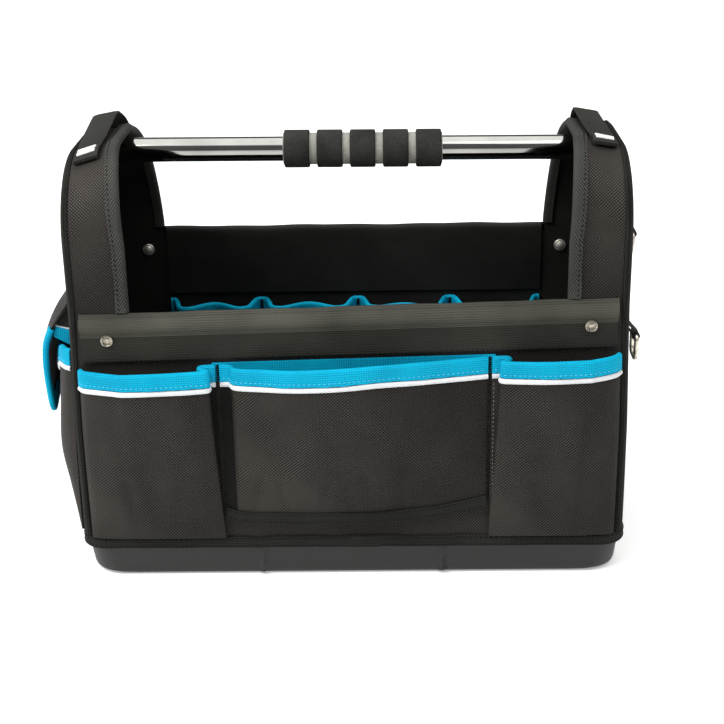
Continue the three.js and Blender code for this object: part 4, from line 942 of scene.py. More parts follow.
chrome = worn_metal("chromed_tube_steel", CHROME_TONES, 0.07, 24.0)
groove_grey = grained_plastic("grey_sleeve", GROOVE_TONES, 0.7, 700.0)
foam = foam_finish()
socket_plastic = grained_plastic("socket_black_plastic", SOCKET_TONES, 0.45)
for side, sign in ENDS:
    add(f"{side}_tube_cup", socket_part(sign), [socket_plastic], f"{side}_handle_socket")
tube_section = ring_section(TUBE_BORE, TUBE_RADIUS, -TUBE_HALF, TUBE_HALF, 0.5)
add("handle_tube_chromed", sleeve(tube_section, 96), [chrome], "handle_tube")
grip_half = (GRIP_RINGS * GRIP_RING + (GRIP_RINGS - 1) * GRIP_GROOVE) / 2 + 0.8
core_ends = GRIP_MIDDLE - grip_half, GRIP_MIDDLE + grip_half
core_section = ring_section(TUBE_RADIUS + SLEEVE_GAP, CORE_RADIUS, *core_ends, 0.6)
add("grip_sleeve_grey", sleeve(core_section), [groove_grey], "grip_core")
for k in range(GRIP_RINGS):
    start = GRIP_MIDDLE + (k - (GRIP_RINGS - 1) / 2) * (GRIP_RING + GRIP_GROOVE) - GRIP_RING / 2
    ring_shape = ring_section(CORE_RADIUS + SLEEVE_GAP, GRIP_RADIUS, start, start + GRIP_RING, 1.6)
    ring = add(f"grip_foam_{k + 1}", sleeve(ring_shape), [foam], f"grip_ring_{k + 1}")

# Arch straps: ribbed webbing sewn down at both ends and standing off the crown of each arch as a low tent.
# Each front end is turned under and held by two white bar tacks.
# Start on the front shoulder in degrees, X of the middle, rise, and skew of the front end.
STRAPS = {"left": (62, 217.5, 12.0, 0.0), "right": (70, 212.5, 8.5, 5.5)}
STRAP_END, STRAP_END_MIDDLE = 50, 219.5
STRAP_WIDTH, STRAP_THICK, STRAP_STAND = 22.0, 1.8, 2.6
STRAP_SPAN_FRONT, STRAP_SPAN_BACK = 66.0, 83.0
STRAP_TACKS, TACK_STITCH = (6.6, 8.0, 9.4, 12.0, 13.4, 14.8), (1.6, 0.1, 0.85)
STRAP_TONES = (0.002, 0.002, 0.0018), (0.045, 0.044, 0.039)
TACK_TONES = (0.7, 0.69, 0.66), (0.92, 0.91, 0.88)


def strap_stations(start):
    """Stations of a strap: the front shoulder from its start, the crown, and the back shoulder to its end."""
    front = shoulder(ARCH_FRONT, -1, np.radians(np.linspace(start, 90, 14)))
    back = shoulder(ARCH_BACK, 1, np.radians(np.linspace(90, STRAP_END, 26)))
    return np.vstack([front, crown(24), back])


def strap_part(start, middle, rise, skew):
    """Strap as a sheet over its stations, rising as a tent with a rounded ridge, and its tacks in front."""
    stations = strap_stations(start)
    out = way_out(stations)
    span = np.where(stations[:, 0] < 0, STRAP_SPAN_FRONT, STRAP_SPAN_BACK)
    share = np.maximum(0, 1 - np.hypot(stations[:, 0], 4) / span)
    centre = STRAP_END_MIDDLE + (middle - STRAP_END_MIDDLE) * share
    offsets = np.linspace(-0.5, 0.5, 9) * STRAP_WIDTH
    grid = strip_at(stations, centre[:, None] + offsets) + (rise * share)[:, None, None] * out[:, None]
    far = far_along(grid[:, 4])
    shift = skew * np.linspace(0, 1, 9) * (1 - soft_step(far, 0, 30))[:, None]
    grid += unit(np.gradient(grid, axis=0)) * shift[..., None]
    turned_under = 1.3 * (1 - soft_step(far, 13, 16)) + 1.3 * soft_step(far, far[-1] - 16, far[-1] - 13)
    rounded = 0.5 * np.abs(np.linspace(-1, 1, 9)) ** 6
    way = normals_over(grid)
    way *= np.sign(np.sum(way * out[:, None], axis=-1, keepdims=True))
    high = STRAP_STAND + STRAP_THICK + turned_under[:, None] - rounded
    top = grid + way * high[..., None]
    tacks = []
    for place in STRAP_TACKS:
        row, up = (np.stack([read_at(rows[:, j], far, place) for j in range(1, 8)]) for rows in (top, way))
        tacks.append(stitches(row, up, *TACK_STITCH))
    return skin(top, grid + way * STRAP_STAND), joined(tacks)


strap_webbing = threads("strap_webbing", STRAP_TONES, ((0, 2.4, 1.0),), 0.5, 0.0004, 0.75, 0.25)
white_thread = thread_finish("white_tack_thread", TACK_TONES)
for side, sign in ENDS:
    sheet, tacks = (mirrored(part, sign) for part in strap_part(*STRAPS[side]))
    add(f"{side}_strap_webbing", sheet, [strap_webbing] * 2, f"{side}_arch_strap")
    add(f"{side}_strap_tacks", tacks, [white_thread])

# Rings: steel wire bent to a closed ring, each hung in a webbing tab folded round its bar.
# The tab is sewn to the end wall above the bar, so that the ring swings freely.
# Side, X and level of the bar, drop, lower corner radius, half depth of the wire, fall of the tab, body.
RINGS = {
    "left_ring": (-1, 259.0, 287.0, 19.0, 12.9, 1.6, 24.0, "left_ring_body"),
    "right_ring": (1, 259.0, 287.0, 19.0, 12.9, 1.6, 24.0, "right_ring_body"),
    "tool_ring": (1, 267.0, 187.0, 23.0, 7.0, 2.3, 12.0, "tool_ring_body"),
}
RING_HALF, RING_TOP_ROUND, RING_WIRE = 13.0, 3.5, 1.6
TAB_HALF, TAB_ROW_HALF, TAB_THICK, TAB_HOLE, TAB_LENGTH = 8.5, 7.5, 1.6, 2.5, 38.0
TAB_WAY, TAB_STITCH = (1.0, 0.0, 0.0), (1.6, 0.3, 0.5)


def end_face(y, level):
    """X of the end wall's outer face: the rounded corner's fall taken off, and the bulge added."""
    radius = seam_radius(level)
    return half_length(level) - corner_drop(np.abs(y) - (HALF_DEPTH - radius), radius) + end_bulge(y, level)


def ring_wire(x, level, drop, low_round, half_depth, count=84, sides=12):
    """Wire carried round a rectangle with tight upper corners and wide lower ones."""
    turns = np.linspace(0, np.pi / 2, 12)
    corners = []
    for quarter, (cy, cz, radius) in enumerate((
        (RING_HALF - RING_TOP_ROUND, -RING_TOP_ROUND, RING_TOP_ROUND),
        (-RING_HALF + RING_TOP_ROUND, -RING_TOP_ROUND, RING_TOP_ROUND),
        (-RING_HALF + low_round, -drop + low_round, low_round),
        (RING_HALF - low_round, -drop + low_round, low_round),
    )):
        angle = turns + quarter * np.pi / 2
        corners.append(np.column_stack([cy + radius * np.cos(angle), cz + radius * np.sin(angle)]))
    line = np.vstack([*corners, corners[0][:1]])
    far = far_along(line)
    path = read_at(line, far, np.linspace(0, far[-1], count, endpoint=False))
    tangent = unit(np.roll(path, -1, axis=0) - np.roll(path, 1, axis=0))
    angle = np.arange(sides) * 2 * np.pi / sides
    away = np.column_stack([tangent[:, 1], -tangent[:, 0]])
    flat = path[:, None] + RING_WIRE * np.cos(angle)[:, None] * away[:, None]
    depth = np.broadcast_to(x + half_depth * np.sin(angle), flat.shape[:2])
    return tube(np.concatenate([depth[..., None], flat + (0, level)], axis=-1), wrap=True)


def ring_tab(x, level, fall):
    """Webbing folded round the ring's bar: down from the wall, half round the bar, and back up behind it."""
    knee, top = level + fall, level + TAB_LENGTH
    wall_knee, wall_top = (float(end_face(0.0, z)) + 0.3 for z in (knee, top))
    bend = TAB_HOLE + TAB_THICK / 2
    turns = np.linspace(0, -np.pi, 11)
    line = np.vstack([
        [[wall_top + 1.5 * TAB_THICK, top], [wall_knee + 1.5 * TAB_THICK, knee]],
        np.column_stack([x + bend * np.cos(turns), level + bend * np.sin(turns)]),
        [[wall_knee + 0.5 * TAB_THICK - 0.05, knee], [wall_top + 0.5 * TAB_THICK - 0.05, top]],
    ])
    far = far_along(line)
    path = read_at(line, far, np.linspace(0, far[-1], 90))
    y = np.linspace(-TAB_HALF, TAB_HALF, 7)
    grid = np.stack(np.broadcast_arrays(path[:, None, 0], y, path[:, None, 1]), -1)
    sewn = []
    for z in (top - 3, knee + 1.5):
        row_x = np.interp(z, [knee, top], [wall_knee, wall_top]) + 2 * TAB_THICK
        row = np.column_stack([np.full(9, row_x), np.linspace(-TAB_ROW_HALF, TAB_ROW_HALF, 9), np.full(9, z)])
        sewn.append(stitches(row, TAB_WAY, *TAB_STITCH))
    return laid(grid, -TAB_THICK / 2, TAB_THICK / 2), joined(sewn)


for name, (sign, x, level, drop, low_round, half_depth, fall, body) in RINGS.items():
    parts = (ring_wire(x, level, drop, low_round, half_depth), *ring_tab(x, level, fall))
    wire, tab, tab_rows = (mirrored(part, sign) for part in parts)
    add(f"{name}_wire", wire, [steel], name, body)
    add(f"{name}_tab_webbing", tab, [strap_webbing] * 2, f"{name}_tab")
    add(f"{name}_tab_stitches", tab_rows, [black_thread])

# Front pockets: three bellows pockets of the same cloth, full at the top and sewn flat at the foot.
# Each mouth is bound with blue tape over a pale piping. The centre pocket's foot has a black hem,
# and a second blue edge lies on the wall behind its mouth.
POCKET_CLOTH, POCKET_STAND = 2.0, 3.8
POCKET_FOOT, POCKET_RIM, PLAN_SCALE = 41.6, 210.5, 110.0
POCKET_TAPE_FACE, POCKET_TAPE_BACK, POCKET_TAPE_GAP, MOUTH_ROW = 13.5, 9.0, 0.3, 10.6
MOUTH_STITCH, SEAM_STITCH, VALLEY_STITCH = (2.0, 2.3, 0.38), (2.0, 2.0, 0.4), (2.0, 0.2, 0.7)
PIPING_TOP, PIPING_WIDTH, TRIM_GAP = 14.1, 4.6, 0.5
# X of both sides, None at a corner seam, and the plan: shares along the mouth and distances out.
FRONT_POCKETS = {
    "front_left_pocket": (
        None, -116.0,
        (0, 0.03, 0.12, 0.32, 0.345, 0.7, 0.88, 0.94, 0.957, 0.945, 0.905, 0.895, 0.915, 0.95, 1),
        (0, 5.5, 10.5, 18.8, 19, 17.6, 15.5, 14.5, 12.5, 9, 4, 1.5, 0.4, 0, 0),
    ),
    "front_centre_pocket": (
        -112.0, 120.0,
        (0, 0.02, 0.036, 0.045, 0.06, 0.1, 0.16, 0.3, 0.55, 0.8, 0.95, 1),
        (0, 0.2, 1.5, 6, 10.5, 13.5, 16, 21, 17, 8, 2, 0),
    ),
    "front_right_pocket": (
        124.0, None,
        (0, 0.06, 0.105, 0.125, 0.118, 0.08, 0.068, 0.085, 0.15, 0.35, 0.65, 0.765, 0.785, 0.9, 0.97, 1),
        (0, 0, 0.3, 1.5, 4, 8, 11, 13, 15, 18, 17.6, 16.8, 15.8, 10.5, 5, 0),
    ),
}
# Where a pleat folds along the mouth, and where its fold and its end lie at the foot.
PLEATS = {"front_left_pocket": (0.8, 1.018, 1.012), "front_right_pocket": (0.2, -0.012, -0.008)}
# Share of the mouth where the plain side cloth starts, and where it ends. That side cloth is black, darkened
# further with painted shade for the deep valley between the left and centre pockets.
SHADED_GUSSETS = {"front_left_pocket": (0.82, 1.0), "front_centre_pocket": (0.0, 0.062)}
GUSSET_SHADE_TONES = (0.0015, 0.0015, 0.0014), (0.012, 0.0115, 0.0105)
FRONT_FULL_AT, FRONT_FULL = (0, 0.3, 0.7, 1), (0.12, 0.5, 0.9, 1)
CENTRE_FOOT, HEM = 57.0, 11.0
CENTRE_FOOT_AT, CENTRE_FOOT_RISE = (0, 0.06, 0.2, 0.5, 0.75, 0.88, 1), (4, 1.2, 0, 0, 3, 8, 14)
BACKING_FROM, BACKING_TO, BACKING_FOOT, BACKING_RIM = -119.0, 127.0, 196.0, 213.0
VALLEYS, RIGHT_SEAM_X, RIGHT_SEAM_FOOT, RIGHT_SEAM_TOP = (-114.0, 122.0), 125.6, 66.0, 194.0
# Start and end, each X and level, then depth and width.
CREASES = {
    "front_left_pocket": (
        ((-199, 100), (-191, 46), 4.6, 6.5), ((-150, 92), (-158, 52), 3.0, 8.0),
        ((-205, 180), (-200, 120), 2.5, 10.0), ((-160, 175), (-140, 90), 2.6, 12.0),
    ),
    "front_centre_pocket": (
        ((-78, 104), (-84, 74), 4.0, 5.0), ((-62, 96), (-58, 74), 3.6, 4.5), ((-20, 98), (-26, 72), 3.2, 5.0),
        ((12, 104), (18, 74), 3.2, 5.5), ((48, 108), (44, 74), 3.0, 6.0), ((-90, 170), (-60, 110), 3.0, 11.0),
        ((-10, 180), (-22, 115), 3.4, 13.0), ((60, 175), (46, 110), 2.8, 12.0),
    ),
    "front_right_pocket": (
        ((208, 165), (201, 50), 4.5, 5.5), ((164, 96), (170, 50), 3.0, 7.0),
        ((160, 180), (172, 120), 2.6, 12.0),
    ),
}
# Painted shade: the pockets' cloth has lighter tones than the walls' and darkens evenly along each cut, from
# the left side of a front pocket to its right, to 0.46 of its tone, as if lit from the left.
POCKET_TONES = CLOTH_TONES[0], (0.072, 0.063, 0.053)
POCKET_PAINTED_SHADE = ("X", 0.0, -80.0, 80.0, 1.0, 0.46)
BLUE_TONES = (0.0, 0.12, 0.22), (0.0, 0.54, 0.81)
PIPING_TONES = (0.5, 0.51, 0.52), (0.84, 0.85, 0.86)
BLUE_THREAD_TONES = (0.03, 0.36, 0.55), (0.2, 0.6, 0.78)
GREY_THREAD_TONES = (0.1, 0.1, 0.09), (0.22, 0.22, 0.2)


def seam_inset(level, reach):
    """How far the seam tape's edge lies in from a wall's outer corner: by arc, then straight past the arc."""
    radius = seam_radius(level)
    arc = radius * SEAM_TURN
    return np.where(reach < arc, radius - radius * np.sin(SEAM_TURN - reach / radius), radius + reach - arc)


def front_face(x, level):
    """Y of the front wall's outer face, with the rounded corner's fall."""
    radius = seam_radius(level)
    return -HALF_DEPTH + corner_drop(np.abs(x) - (half_length(level) - radius), radius)


def crease_depth(across, level, start, end, depth, width):
    """Crease along a line: a bell dent with a lower, wider swell beside it, fading past both ends."""
    start, end = np.array(start, float), np.array(end, float)
    run = end - start
    share = np.clip(((across - start[0]) * run[0] + (level - start[1]) * run[1]) / (run @ run), 0, 1)
    away = np.hypot(across - start[0] - share * run[0], level - start[1] - share * run[1]) / width
    return depth * (0.55 * np.exp(-(away**2) / 5) - np.exp(-(away**2)))


def held_at(value):
    """A rule that gives one value at every place."""
    return lambda places: np.full_like(places, value)


PLAIN_POCKET = {
    "columns": 141, "foot": held_at(POCKET_FOOT), "full_at": FRONT_FULL_AT, "full": FRONT_FULL,
    "creases": (), "pleat": None, "gusset": (0.0, 0.0),
}


def below_mouth(drops):
    """A rule for rows at some drops below a pocket's mouth, as shares of its height."""
    return lambda height: 1 - np.asarray(drops, float)[:, None] / height


def pocket_grid(pocket, ups):
    """Pocket surface: its plan along the mouth, scaled by the fullness at each height, stood off the wall.

    ups lists the rows' shares of the height, or is a rule for them.
    A pleat at one side opens in a straight line down to the foot."""
    plan = np.column_stack([np.multiply(pocket["along"], PLAN_SCALE), pocket["out"]])
    along, out = through(plan, pocket["columns"]).T
    along = along / PLAN_SCALE
    foot, rim = pocket["foot"](along), pocket["rim"](along)
    rows = ups(rim - foot) if callable(ups) else np.asarray(ups, float)[:, None]
    up = rows * np.ones(len(along))
    level = foot + (rim - foot) * up
    if pocket["pleat"]:
        fold, fold_place, end_place = pocket["pleat"]
        places = (0, fold_place, end_place) if fold > 0.5 else (end_place, fold_place, 1)
        opened = np.interp(np.linspace(0, 1, len(along)), (0, fold, 1), places)
        along = along + (opened - along) * (1 - np.clip(up, 0, 1))
    across = pocket["from"](level) + (pocket["to"](level) - pocket["from"](level)) * along
    full = smooth_value(pocket["full_at"], pocket["full"], up)
    loose = np.sin(np.pi * np.clip(along, 0, 1)) ** 0.6 * np.sin(np.pi * np.clip(up, 0, 1)) ** 0.7
    folds = sum((crease_depth(across, level, *line) for line in pocket["creases"]), np.zeros_like(level))
    stand = POCKET_STAND + out * full + (folds + pocket["slack"](across, level)) * loose
    return pocket["surface"](across, level, stand)


def mouth_tape(rim_rows):
    """Tape folded over a pocket's mouth, and its stitches, from three rows of points up to the edge."""
    edge = unit(rim_rows[2] - rim_rows[1])
    face = normals_over(rim_rows)[2]
    legs = POCKET_TAPE_FACE, POCKET_TAPE_BACK, POCKET_TAPE_GAP
    line = rim_rows[2] - MOUTH_ROW * edge + (POCKET_TAPE_GAP + TAPE - THREAD_SUNK) * face
    return folded_tape(rim_rows[2], edge, face, POCKET_CLOTH, *legs, 0.2), stitches(line, face, *MOUTH_STITCH)


def pocket_parts(pocket):
    """Cloth, piping, mouth tape and the tape's stitches of one pocket."""
    cloth_part = laid(pocket_grid(pocket, np.linspace(0, 1, 46)), -POCKET_CLOTH, 0)
    strips = pocket["columns"] - 1
    middles = (np.arange(strips) + 0.5) / strips
    # Columns in the side cloth take the dark gusset finish: black cloth with painted shade.
    low, high = pocket["gusset"]
    cloth_part[3][: 45 * strips] = np.tile(2 * ((middles > low) & (middles < high)), 45)
    bead = pocket_grid(pocket, below_mouth(PIPING_TOP + PIPING_WIDTH * np.linspace(1, 0, 8)))
    swell = TRIM_GAP + 0.35 + 1.35 * np.sin(np.linspace(0.12, np.pi - 0.12, 8))
    piping = laid(bead, TRIM_GAP, swell[:, None])
    return cloth_part, piping, *mouth_tape(pocket_grid(pocket, below_mouth((4, 2, 0))))


def piping_finish():
    """Pale reflective piping: a soft gloss, faint cross ribs from its weave and a little grime."""
    ribs = ((90, 1.0, 1.0), (0, 1.2, 1.0))
    return threads("pale_piping_tape", PIPING_TONES, ribs, 0.5, 0.0001, 0.38, 0.5, 0.6)


# Pocket cloth with painted shade: lighter on the first side of each pocket, darker on the other.
pocket_cloth = bag_cloth("pocket_cloth_painted_side_shade", POCKET_TONES, POCKET_PAINTED_SHADE)
blue_tape = threads("blue_binding_tape", BLUE_TONES, ((0, 2.0, 0.8), (90, 2.1, 0.6)), 0.45, 0.0004, 0.75, 0.3)
piping_pale = piping_finish()
# Side cloth for the deep valley: black cloth, made darker still with painted shade.
gusset_weave = ((48, 2.1, 1.0), (-42, 2.1, 0.45))
gusset_cloth = threads("gusset_cloth_painted_shade", GUSSET_SHADE_TONES, gusset_weave, 0.3, 0.0003, 0.8)
hem_tape = threads("black_hem_tape", TAPE_TONES, ((90, 2.3, 1.0),), 0.5, 0.0004, 0.8)
blue_thread = thread_finish("blue_tape_thread", BLUE_THREAD_TONES)
grey_thread = thread_finish("grey_thread", GREY_THREAD_TONES)


def front_seam(level):
    """X where the corner tape begins on the front wall."""
    return half_length(level) - seam_inset(level, SEAM_REACH_FRONT) - 1.2


def put_pocket(name, parts, sign=1):
    """Puts a pocket's cloth, tape, piping and stitches on the bag."""
    cloth_part, piping, tape, rows = (mirrored(part, sign) for part in parts)
    add(f"{name}_cloth", cloth_part, [pocket_cloth, lining, gusset_cloth], name)
    add(f"{name}_mouth_tape", tape, [blue_tape] * 2, f"{name}_binding")
    add(f"{name}_mouth_piping", piping, [piping_pale] * 2, f"{name}_piping")
    add(f"{name}_mouth_stitches", rows, [blue_thread])


def upright_tacks(x, y, levels, apart, *sizes):
    """Two columns of stitches side by side up a seam, facing the front; sizes are those of stitches."""
    columns = [np.column_stack(np.broadcast_arrays(x + shift, y, levels)) for shift in (-apart, apart)]
    return joined([stitches(column, FRONT_WAY, *sizes) for column in columns])


for name, (from_x, to_x, along, out) in FRONT_POCKETS.items():
    start = (lambda z: -front_seam(z)) if from_x is None else held_at(from_x)
    stop = front_seam if to_x is None else held_at(to_x)
    rim_from, rim_to = (float(side(np.array(POCKET_RIM))) for side in (start, stop))
    pocket = {
        **PLAIN_POCKET, "along": along, "out": out, "from": start, "to": stop,
        "rim": lambda a, low=rim_from, high=rim_to: POCKET_RIM + front_slant(low + (high - low) * a),
        "creases": CREASES[name],
        "pleat": PLEATS.get(name),
        "gusset": SHADED_GUSSETS.get(name, PLAIN_POCKET["gusset"]),
        "slack": lambda x, z: 1.8 * np.sin(x / 19 + z / 70) + 0.9 * np.sin(x / 9.5 - z / 38 + 1),
        "surface": lambda x, z, o: np.stack([x, front_face(x, z) - o, z], -1),
    }
    if name != "front_centre_pocket":
        put_pocket(name, pocket_parts(pocket))
        continue
    pocket["columns"] = 151
    pocket["foot"] = lambda a: CENTRE_FOOT + smooth_value(CENTRE_FOOT_AT, CENTRE_FOOT_RISE, a)
    put_pocket(name, pocket_parts(pocket))
    hem_grid = pocket_grid(pocket, lambda height: np.linspace(0, HEM, 7)[:, None] / height)
    hem = laid(hem_grid, TRIM_GAP, TRIM_GAP + TAPE)
    hem_out = normals_over(hem_grid)
    hem_top = hem_grid + (TRIM_GAP + TAPE - THREAD_SUNK) * hem_out
    hem_rows = joined([stitches(hem_top[k], hem_out[k]) for k in (1, 5)])
    add("front_centre_hem_tape", hem, [hem_tape] * 2, "front_centre_pocket_hem")
    add("front_centre_hem_stitches", hem_rows, [black_thread])

backing_x = np.linspace(BACKING_FROM, BACKING_TO, 90)
backing_levels = np.linspace(BACKING_FOOT, BACKING_RIM, 6)[:, None] + front_slant(backing_x)
backing_grid = np.stack(np.broadcast_arrays(backing_x, -HALF_DEPTH, backing_levels), -1)
backing = laid(backing_grid, 0.3, 1.5)
add("front_centre_back_edge", backing, [blue_tape] * 2, "front_centre_backing")
right_levels = np.linspace(RIGHT_SEAM_FOOT, RIGHT_SEAM_TOP, 30)
right_seam = np.column_stack(np.broadcast_arrays(RIGHT_SEAM_X, -HALF_DEPTH - POCKET_STAND, right_levels))
right_rows = stitches(right_seam, FRONT_WAY, *SEAM_STITCH)
add("front_right_seam_stitches", right_rows, [grey_thread])
valley_levels = np.linspace(BACKING_FOOT, BACKING_RIM - 0.5, 8)
valley_tacks = [
    upright_tacks(x, -HALF_DEPTH - 1.5, valley_levels + front_slant(x), 0.55, *VALLEY_STITCH) for x in VALLEYS
]
add("front_valley_tacks", joined(valley_tacks), [black_thread])

# Inner pockets: one long strip of cloth sewn to the back wall at five upright seams, so that it stands off
# as four open pockets with a wavy mouth, bound with the same blue tape.
INNER_DIVIDERS = (-188.0, -95.0, 3.5, 97.0, 188.0)
INNER_FOOT, INNER_RIM = 62.0, 184.5
INNER_ALONG = (0, 0.035, 0.075, 0.12, 0.22, 0.5, 0.78, 0.88, 0.925, 0.965, 1)
INNER_SIDE_OUT = (0, 0.4, 11, 26, 30)
INNER_MIDDLES = (16, 17, 23, 24)
DIVIDER_STITCH = (2.2, 0.1, 0.8)


def inner_row(ups):
    """The strip's surface: the four pockets' grids side by side, each sharing its seam with the next."""
    grids = []
    for k in range(4):
        pocket = {
            **PLAIN_POCKET, "along": INNER_ALONG, "columns": 81,
            "out": (*INNER_SIDE_OUT, INNER_MIDDLES[k], *INNER_SIDE_OUT[::-1]),
            "from": held_at(INNER_DIVIDERS[k]),
            "to": held_at(INNER_DIVIDERS[k + 1]),
            "foot": held_at(INNER_FOOT),
            "rim": held_at(INNER_RIM),
            "slack": lambda x, z: 0.7 * np.sin(x / 13 + z / 50),
            "surface": lambda x, z, o: np.stack([x, WALL_INSIDE - o, z], -1),
        }
        grids.append(pocket_grid(pocket, ups)[:, (1 if k else 0):])
    return np.concatenate(grids, axis=1)


tack_levels = np.linspace(INNER_RIM - 16.5, INNER_RIM + 1.5, 8)
divider_tacks = [
    upright_tacks(x, WALL_INSIDE - 5.5, tack_levels, 0.6, *DIVIDER_STITCH) for x in INNER_DIVIDERS[1:-1]
]
add("inner_divider_tacks", joined(divider_tacks), [black_thread])
inner_cloth = laid(inner_row(np.linspace(0, 1, 30)), -POCKET_CLOTH, 0)
inner_tape, inner_rows = mouth_tape(inner_row(below_mouth((4, 2, 0))))
add("inner_pocket_cloth", inner_cloth, [cloth, lining], "inner_pockets")
add("inner_mouth_tape", inner_tape, [blue_tape] * 2, "inner_pockets_binding")
add("inner_mouth_stitches", inner_rows, [blue_thread])

# End pocket and flap: a full pocket over the lower half of the left end, and a flap over its mouth.
# The flap hangs from the end wall, bends over the pocket and is bound with narrow blue tape on three sides.
END_RIM, END_RIM_RISE = 199.0, 19.0
END_ALONG = (0, 0.02, 0.07, 0.25, 0.5, 0.75, 0.93, 0.98, 1)
END_OUT = (0, 7, 13, 16, 17, 16, 13, 7, 0)
END_FULL_AT, END_FULL = (0, 0.08, 0.25, 0.45, 0.72, 1), (0.15, 0.42, 0.81, 1.16, 0.99, 0.78)
END_CREASES = (
    ((-70, 150), (-84, 70), 3.5, 6.0), ((30, 140), (24, 66), 3.0, 8.0), ((-20, 170), (-34, 90), 3.0, 10.0)
)
FLAP_HALF, FLAP_CORNER, FLAP_KNEE = 62.0, 12.0, 84.0
FLAP_TAPE, FLAP_TAPE_BACK, FLAP_TAPE_GAP, FLAP_ROW = 8.0, 11.5, 0.6, 6.0
# Distance off the end wall and level, from the seam down to the lower edge.
FLAP_FALL = ((4.6, 252), (10, 241), (22, 222), (29.3, 204), (31.3, 184), (31, 160), (29.7, 137))


def end_seam(level):
    """Y where the corner tape begins on the end wall."""
    return HALF_DEPTH - seam_inset(level, SEAM_REACH_END) - 1.2


end_pocket = {
    **PLAIN_POCKET, "along": END_ALONG, "out": END_OUT, "columns": 111,
    "from": lambda z: -end_seam(z),
    "to": end_seam,
    "rim": lambda a: END_RIM + END_RIM_RISE * (1 - soft_step(np.minimum(a, 1 - a), 0.04, 0.24)),
    "full_at": END_FULL_AT,
    "full": END_FULL,
    "creases": END_CREASES,
    "slack": lambda y, z: 1.0 * np.sin(y / 15 + z / 70) + 0.6 * np.sin(y / 8 - z / 40),
    "surface": lambda y, z, o: np.stack([end_face(y, z) + o, y, z], -1),
}
put_pocket("left_end_pocket", pocket_parts(end_pocket), -1)

fall_line = through(FLAP_FALL, 200)
fall_far = far_along(fall_line)
fall_length = fall_far[-1]


def flap_at(y, down):
    """A point of the flap: down is the distance up the fall from its lower edge, y the place across."""
    place = np.clip(fall_length - down, 0, fall_length)
    out, level = (np.interp(place, fall_far, column) for column in fall_line.T)
    lift = 1.2 * np.sin(y / 19 + 0.6) * soft_step(place, 50, fall_length)
    return np.stack(np.broadcast_arrays(end_face(y, level) + out + lift, y, level), -1)


def flap_half(down):
    """Half of the flap's width, drawn in by the rounded corners at its lower edge."""
    return FLAP_HALF - corner_drop(FLAP_CORNER - down, FLAP_CORNER)


flap_rows = np.concatenate([[0, 0.25, 0.8, 1.7, 3, 5, 8], np.linspace(12, fall_length, 40)])[:, None]
flap_grid = flap_at(np.linspace(-1, 1, 41) * flap_half(flap_rows), flap_rows)
corner_turns = np.linspace(0, np.pi / 2, 14)
straight_down = np.linspace(FLAP_KNEE, FLAP_CORNER, 40)[:-1]
side_down = np.concatenate([straight_down, FLAP_CORNER * (1 - np.sin(corner_turns))])
straight_y = np.full(len(straight_down), FLAP_HALF)
side_y = np.concatenate([straight_y, FLAP_HALF - FLAP_CORNER * (1 - np.cos(corner_turns))])
corner_way = np.column_stack([np.cos(corner_turns), -np.sin(corner_turns)])
side_edge = np.vstack([np.tile([1.0, 0.0], (len(straight_down), 1)), corner_way])
foot_y = np.linspace(-1, 1, 30)[1:-1] * (FLAP_HALF - FLAP_CORNER)
edge_y = np.concatenate([-side_y, foot_y, side_y[::-1]])
edge_down = np.concatenate([side_down, np.zeros(len(foot_y)), side_down[::-1]])
edge_way = np.vstack([side_edge * (-1, 1), np.tile([0.0, -1.0], (len(foot_y), 1)), side_edge[::-1]])
edge_at = flap_at(edge_y, edge_down)
edge_across = unit(flap_at(edge_y + 0.4, edge_down) - flap_at(edge_y - 0.4, edge_down))
edge_up = unit(flap_at(edge_y, edge_down + 0.5) - edge_at)
edge_out = unit(edge_across * edge_way[:, :1] + edge_up * edge_way[:, 1:])
edge_face = np.cross(edge_across, edge_up)
flap_legs = FLAP_TAPE, FLAP_TAPE_BACK, FLAP_TAPE_GAP
flap_line = edge_at - FLAP_ROW * edge_out + (FLAP_TAPE_GAP + TAPE - THREAD_SUNK) * edge_face
flap_parts = (
    laid(flap_grid, -POCKET_CLOTH, 0),
    folded_tape(edge_at, edge_out, edge_face, POCKET_CLOTH, *flap_legs, 0.15),
    stitches(flap_line, edge_face, *MOUTH_STITCH),
)
flap_sheet, flap_binding, flap_sewing = (mirrored(part, -1) for part in flap_parts)
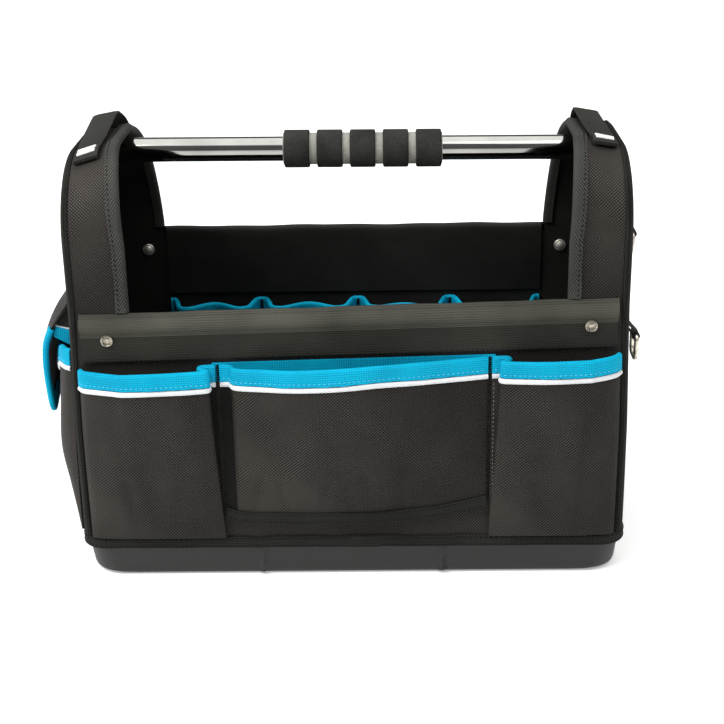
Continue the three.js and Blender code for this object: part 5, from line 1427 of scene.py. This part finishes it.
flap = add("left_flap_cloth", flap_sheet, [cloth, lining], "left_end_flap")
flap_tape = add("left_flap_tape", flap_binding, [blue_tape] * 2, "left_end_flap_binding")
flap_stitches = add("left_flap_stitches", flap_sewing, [blue_thread])

# Flap gussets: a triangle of cloth closes each side of the flap's upper part, from the end wall to the bend.
# Its lower edge is bound with blue tape under a thin pale piping.
GUSSET_Y, GUSSET_OFF, GUSSET_TOP, GUSSET_FOOT = 57.0, 0.9, 245.0, 204.5
GUSSET_OUTER = ((4.4, 245), (7.2, 239.5), (12.4, 229.6), (17.4, 219.6), (20.4, 210.6))
GUSSET_TAPE = (((1.5, 217.0), (18.4, 221.0)), ((1.5, 200.6), (20.8, 211.4)))


def gusset_sheet(y, top, bottom, half_thick):
    """Flat closed sheet across Y between two lines of points, each by its way off the wall and its level."""
    share = np.linspace(0, 1, 12)[:, None]
    ends = np.linspace(0, 1, len(top))
    spread = np.linspace(0, 1, 16)
    upper, lower = (read_at(np.array(line, float), ends, spread) for line in (top, bottom))
    flat = upper[None] * (1 - share[..., None]) + lower[None] * share[..., None]
    x = -(end_face(y, flat[..., 1]) + flat[..., 0])
    grid = np.stack(np.broadcast_arrays(x, y, flat[..., 1]), -1)
    return laid(grid, -half_thick, half_thick)


gusset_inner = np.column_stack([np.full(5, GUSSET_OFF), np.linspace(GUSSET_TOP, GUSSET_FOOT, 5)])
tape_top, tape_foot = (np.array(line, float) for line in GUSSET_TAPE)
for side, y in (("front", -GUSSET_Y), ("back", GUSSET_Y)):
    gusset = gusset_sheet(y, gusset_inner, GUSSET_OUTER, 1.0)
    gusset_tape = gusset_sheet(y, tape_top, tape_foot, 2.2)
    gusset_piping = gusset_sheet(y, tape_top + (0, 1.2), tape_top + (0, 0.1), 1.9)
    add(f"left_{side}_gusset_cloth", gusset, [cloth] * 2, f"left_end_{side}_gusset")
    add(f"left_{side}_gusset_tape", gusset_tape, [blue_tape] * 2)
    add(f"left_{side}_gusset_piping", gusset_piping, [piping_pale] * 2)
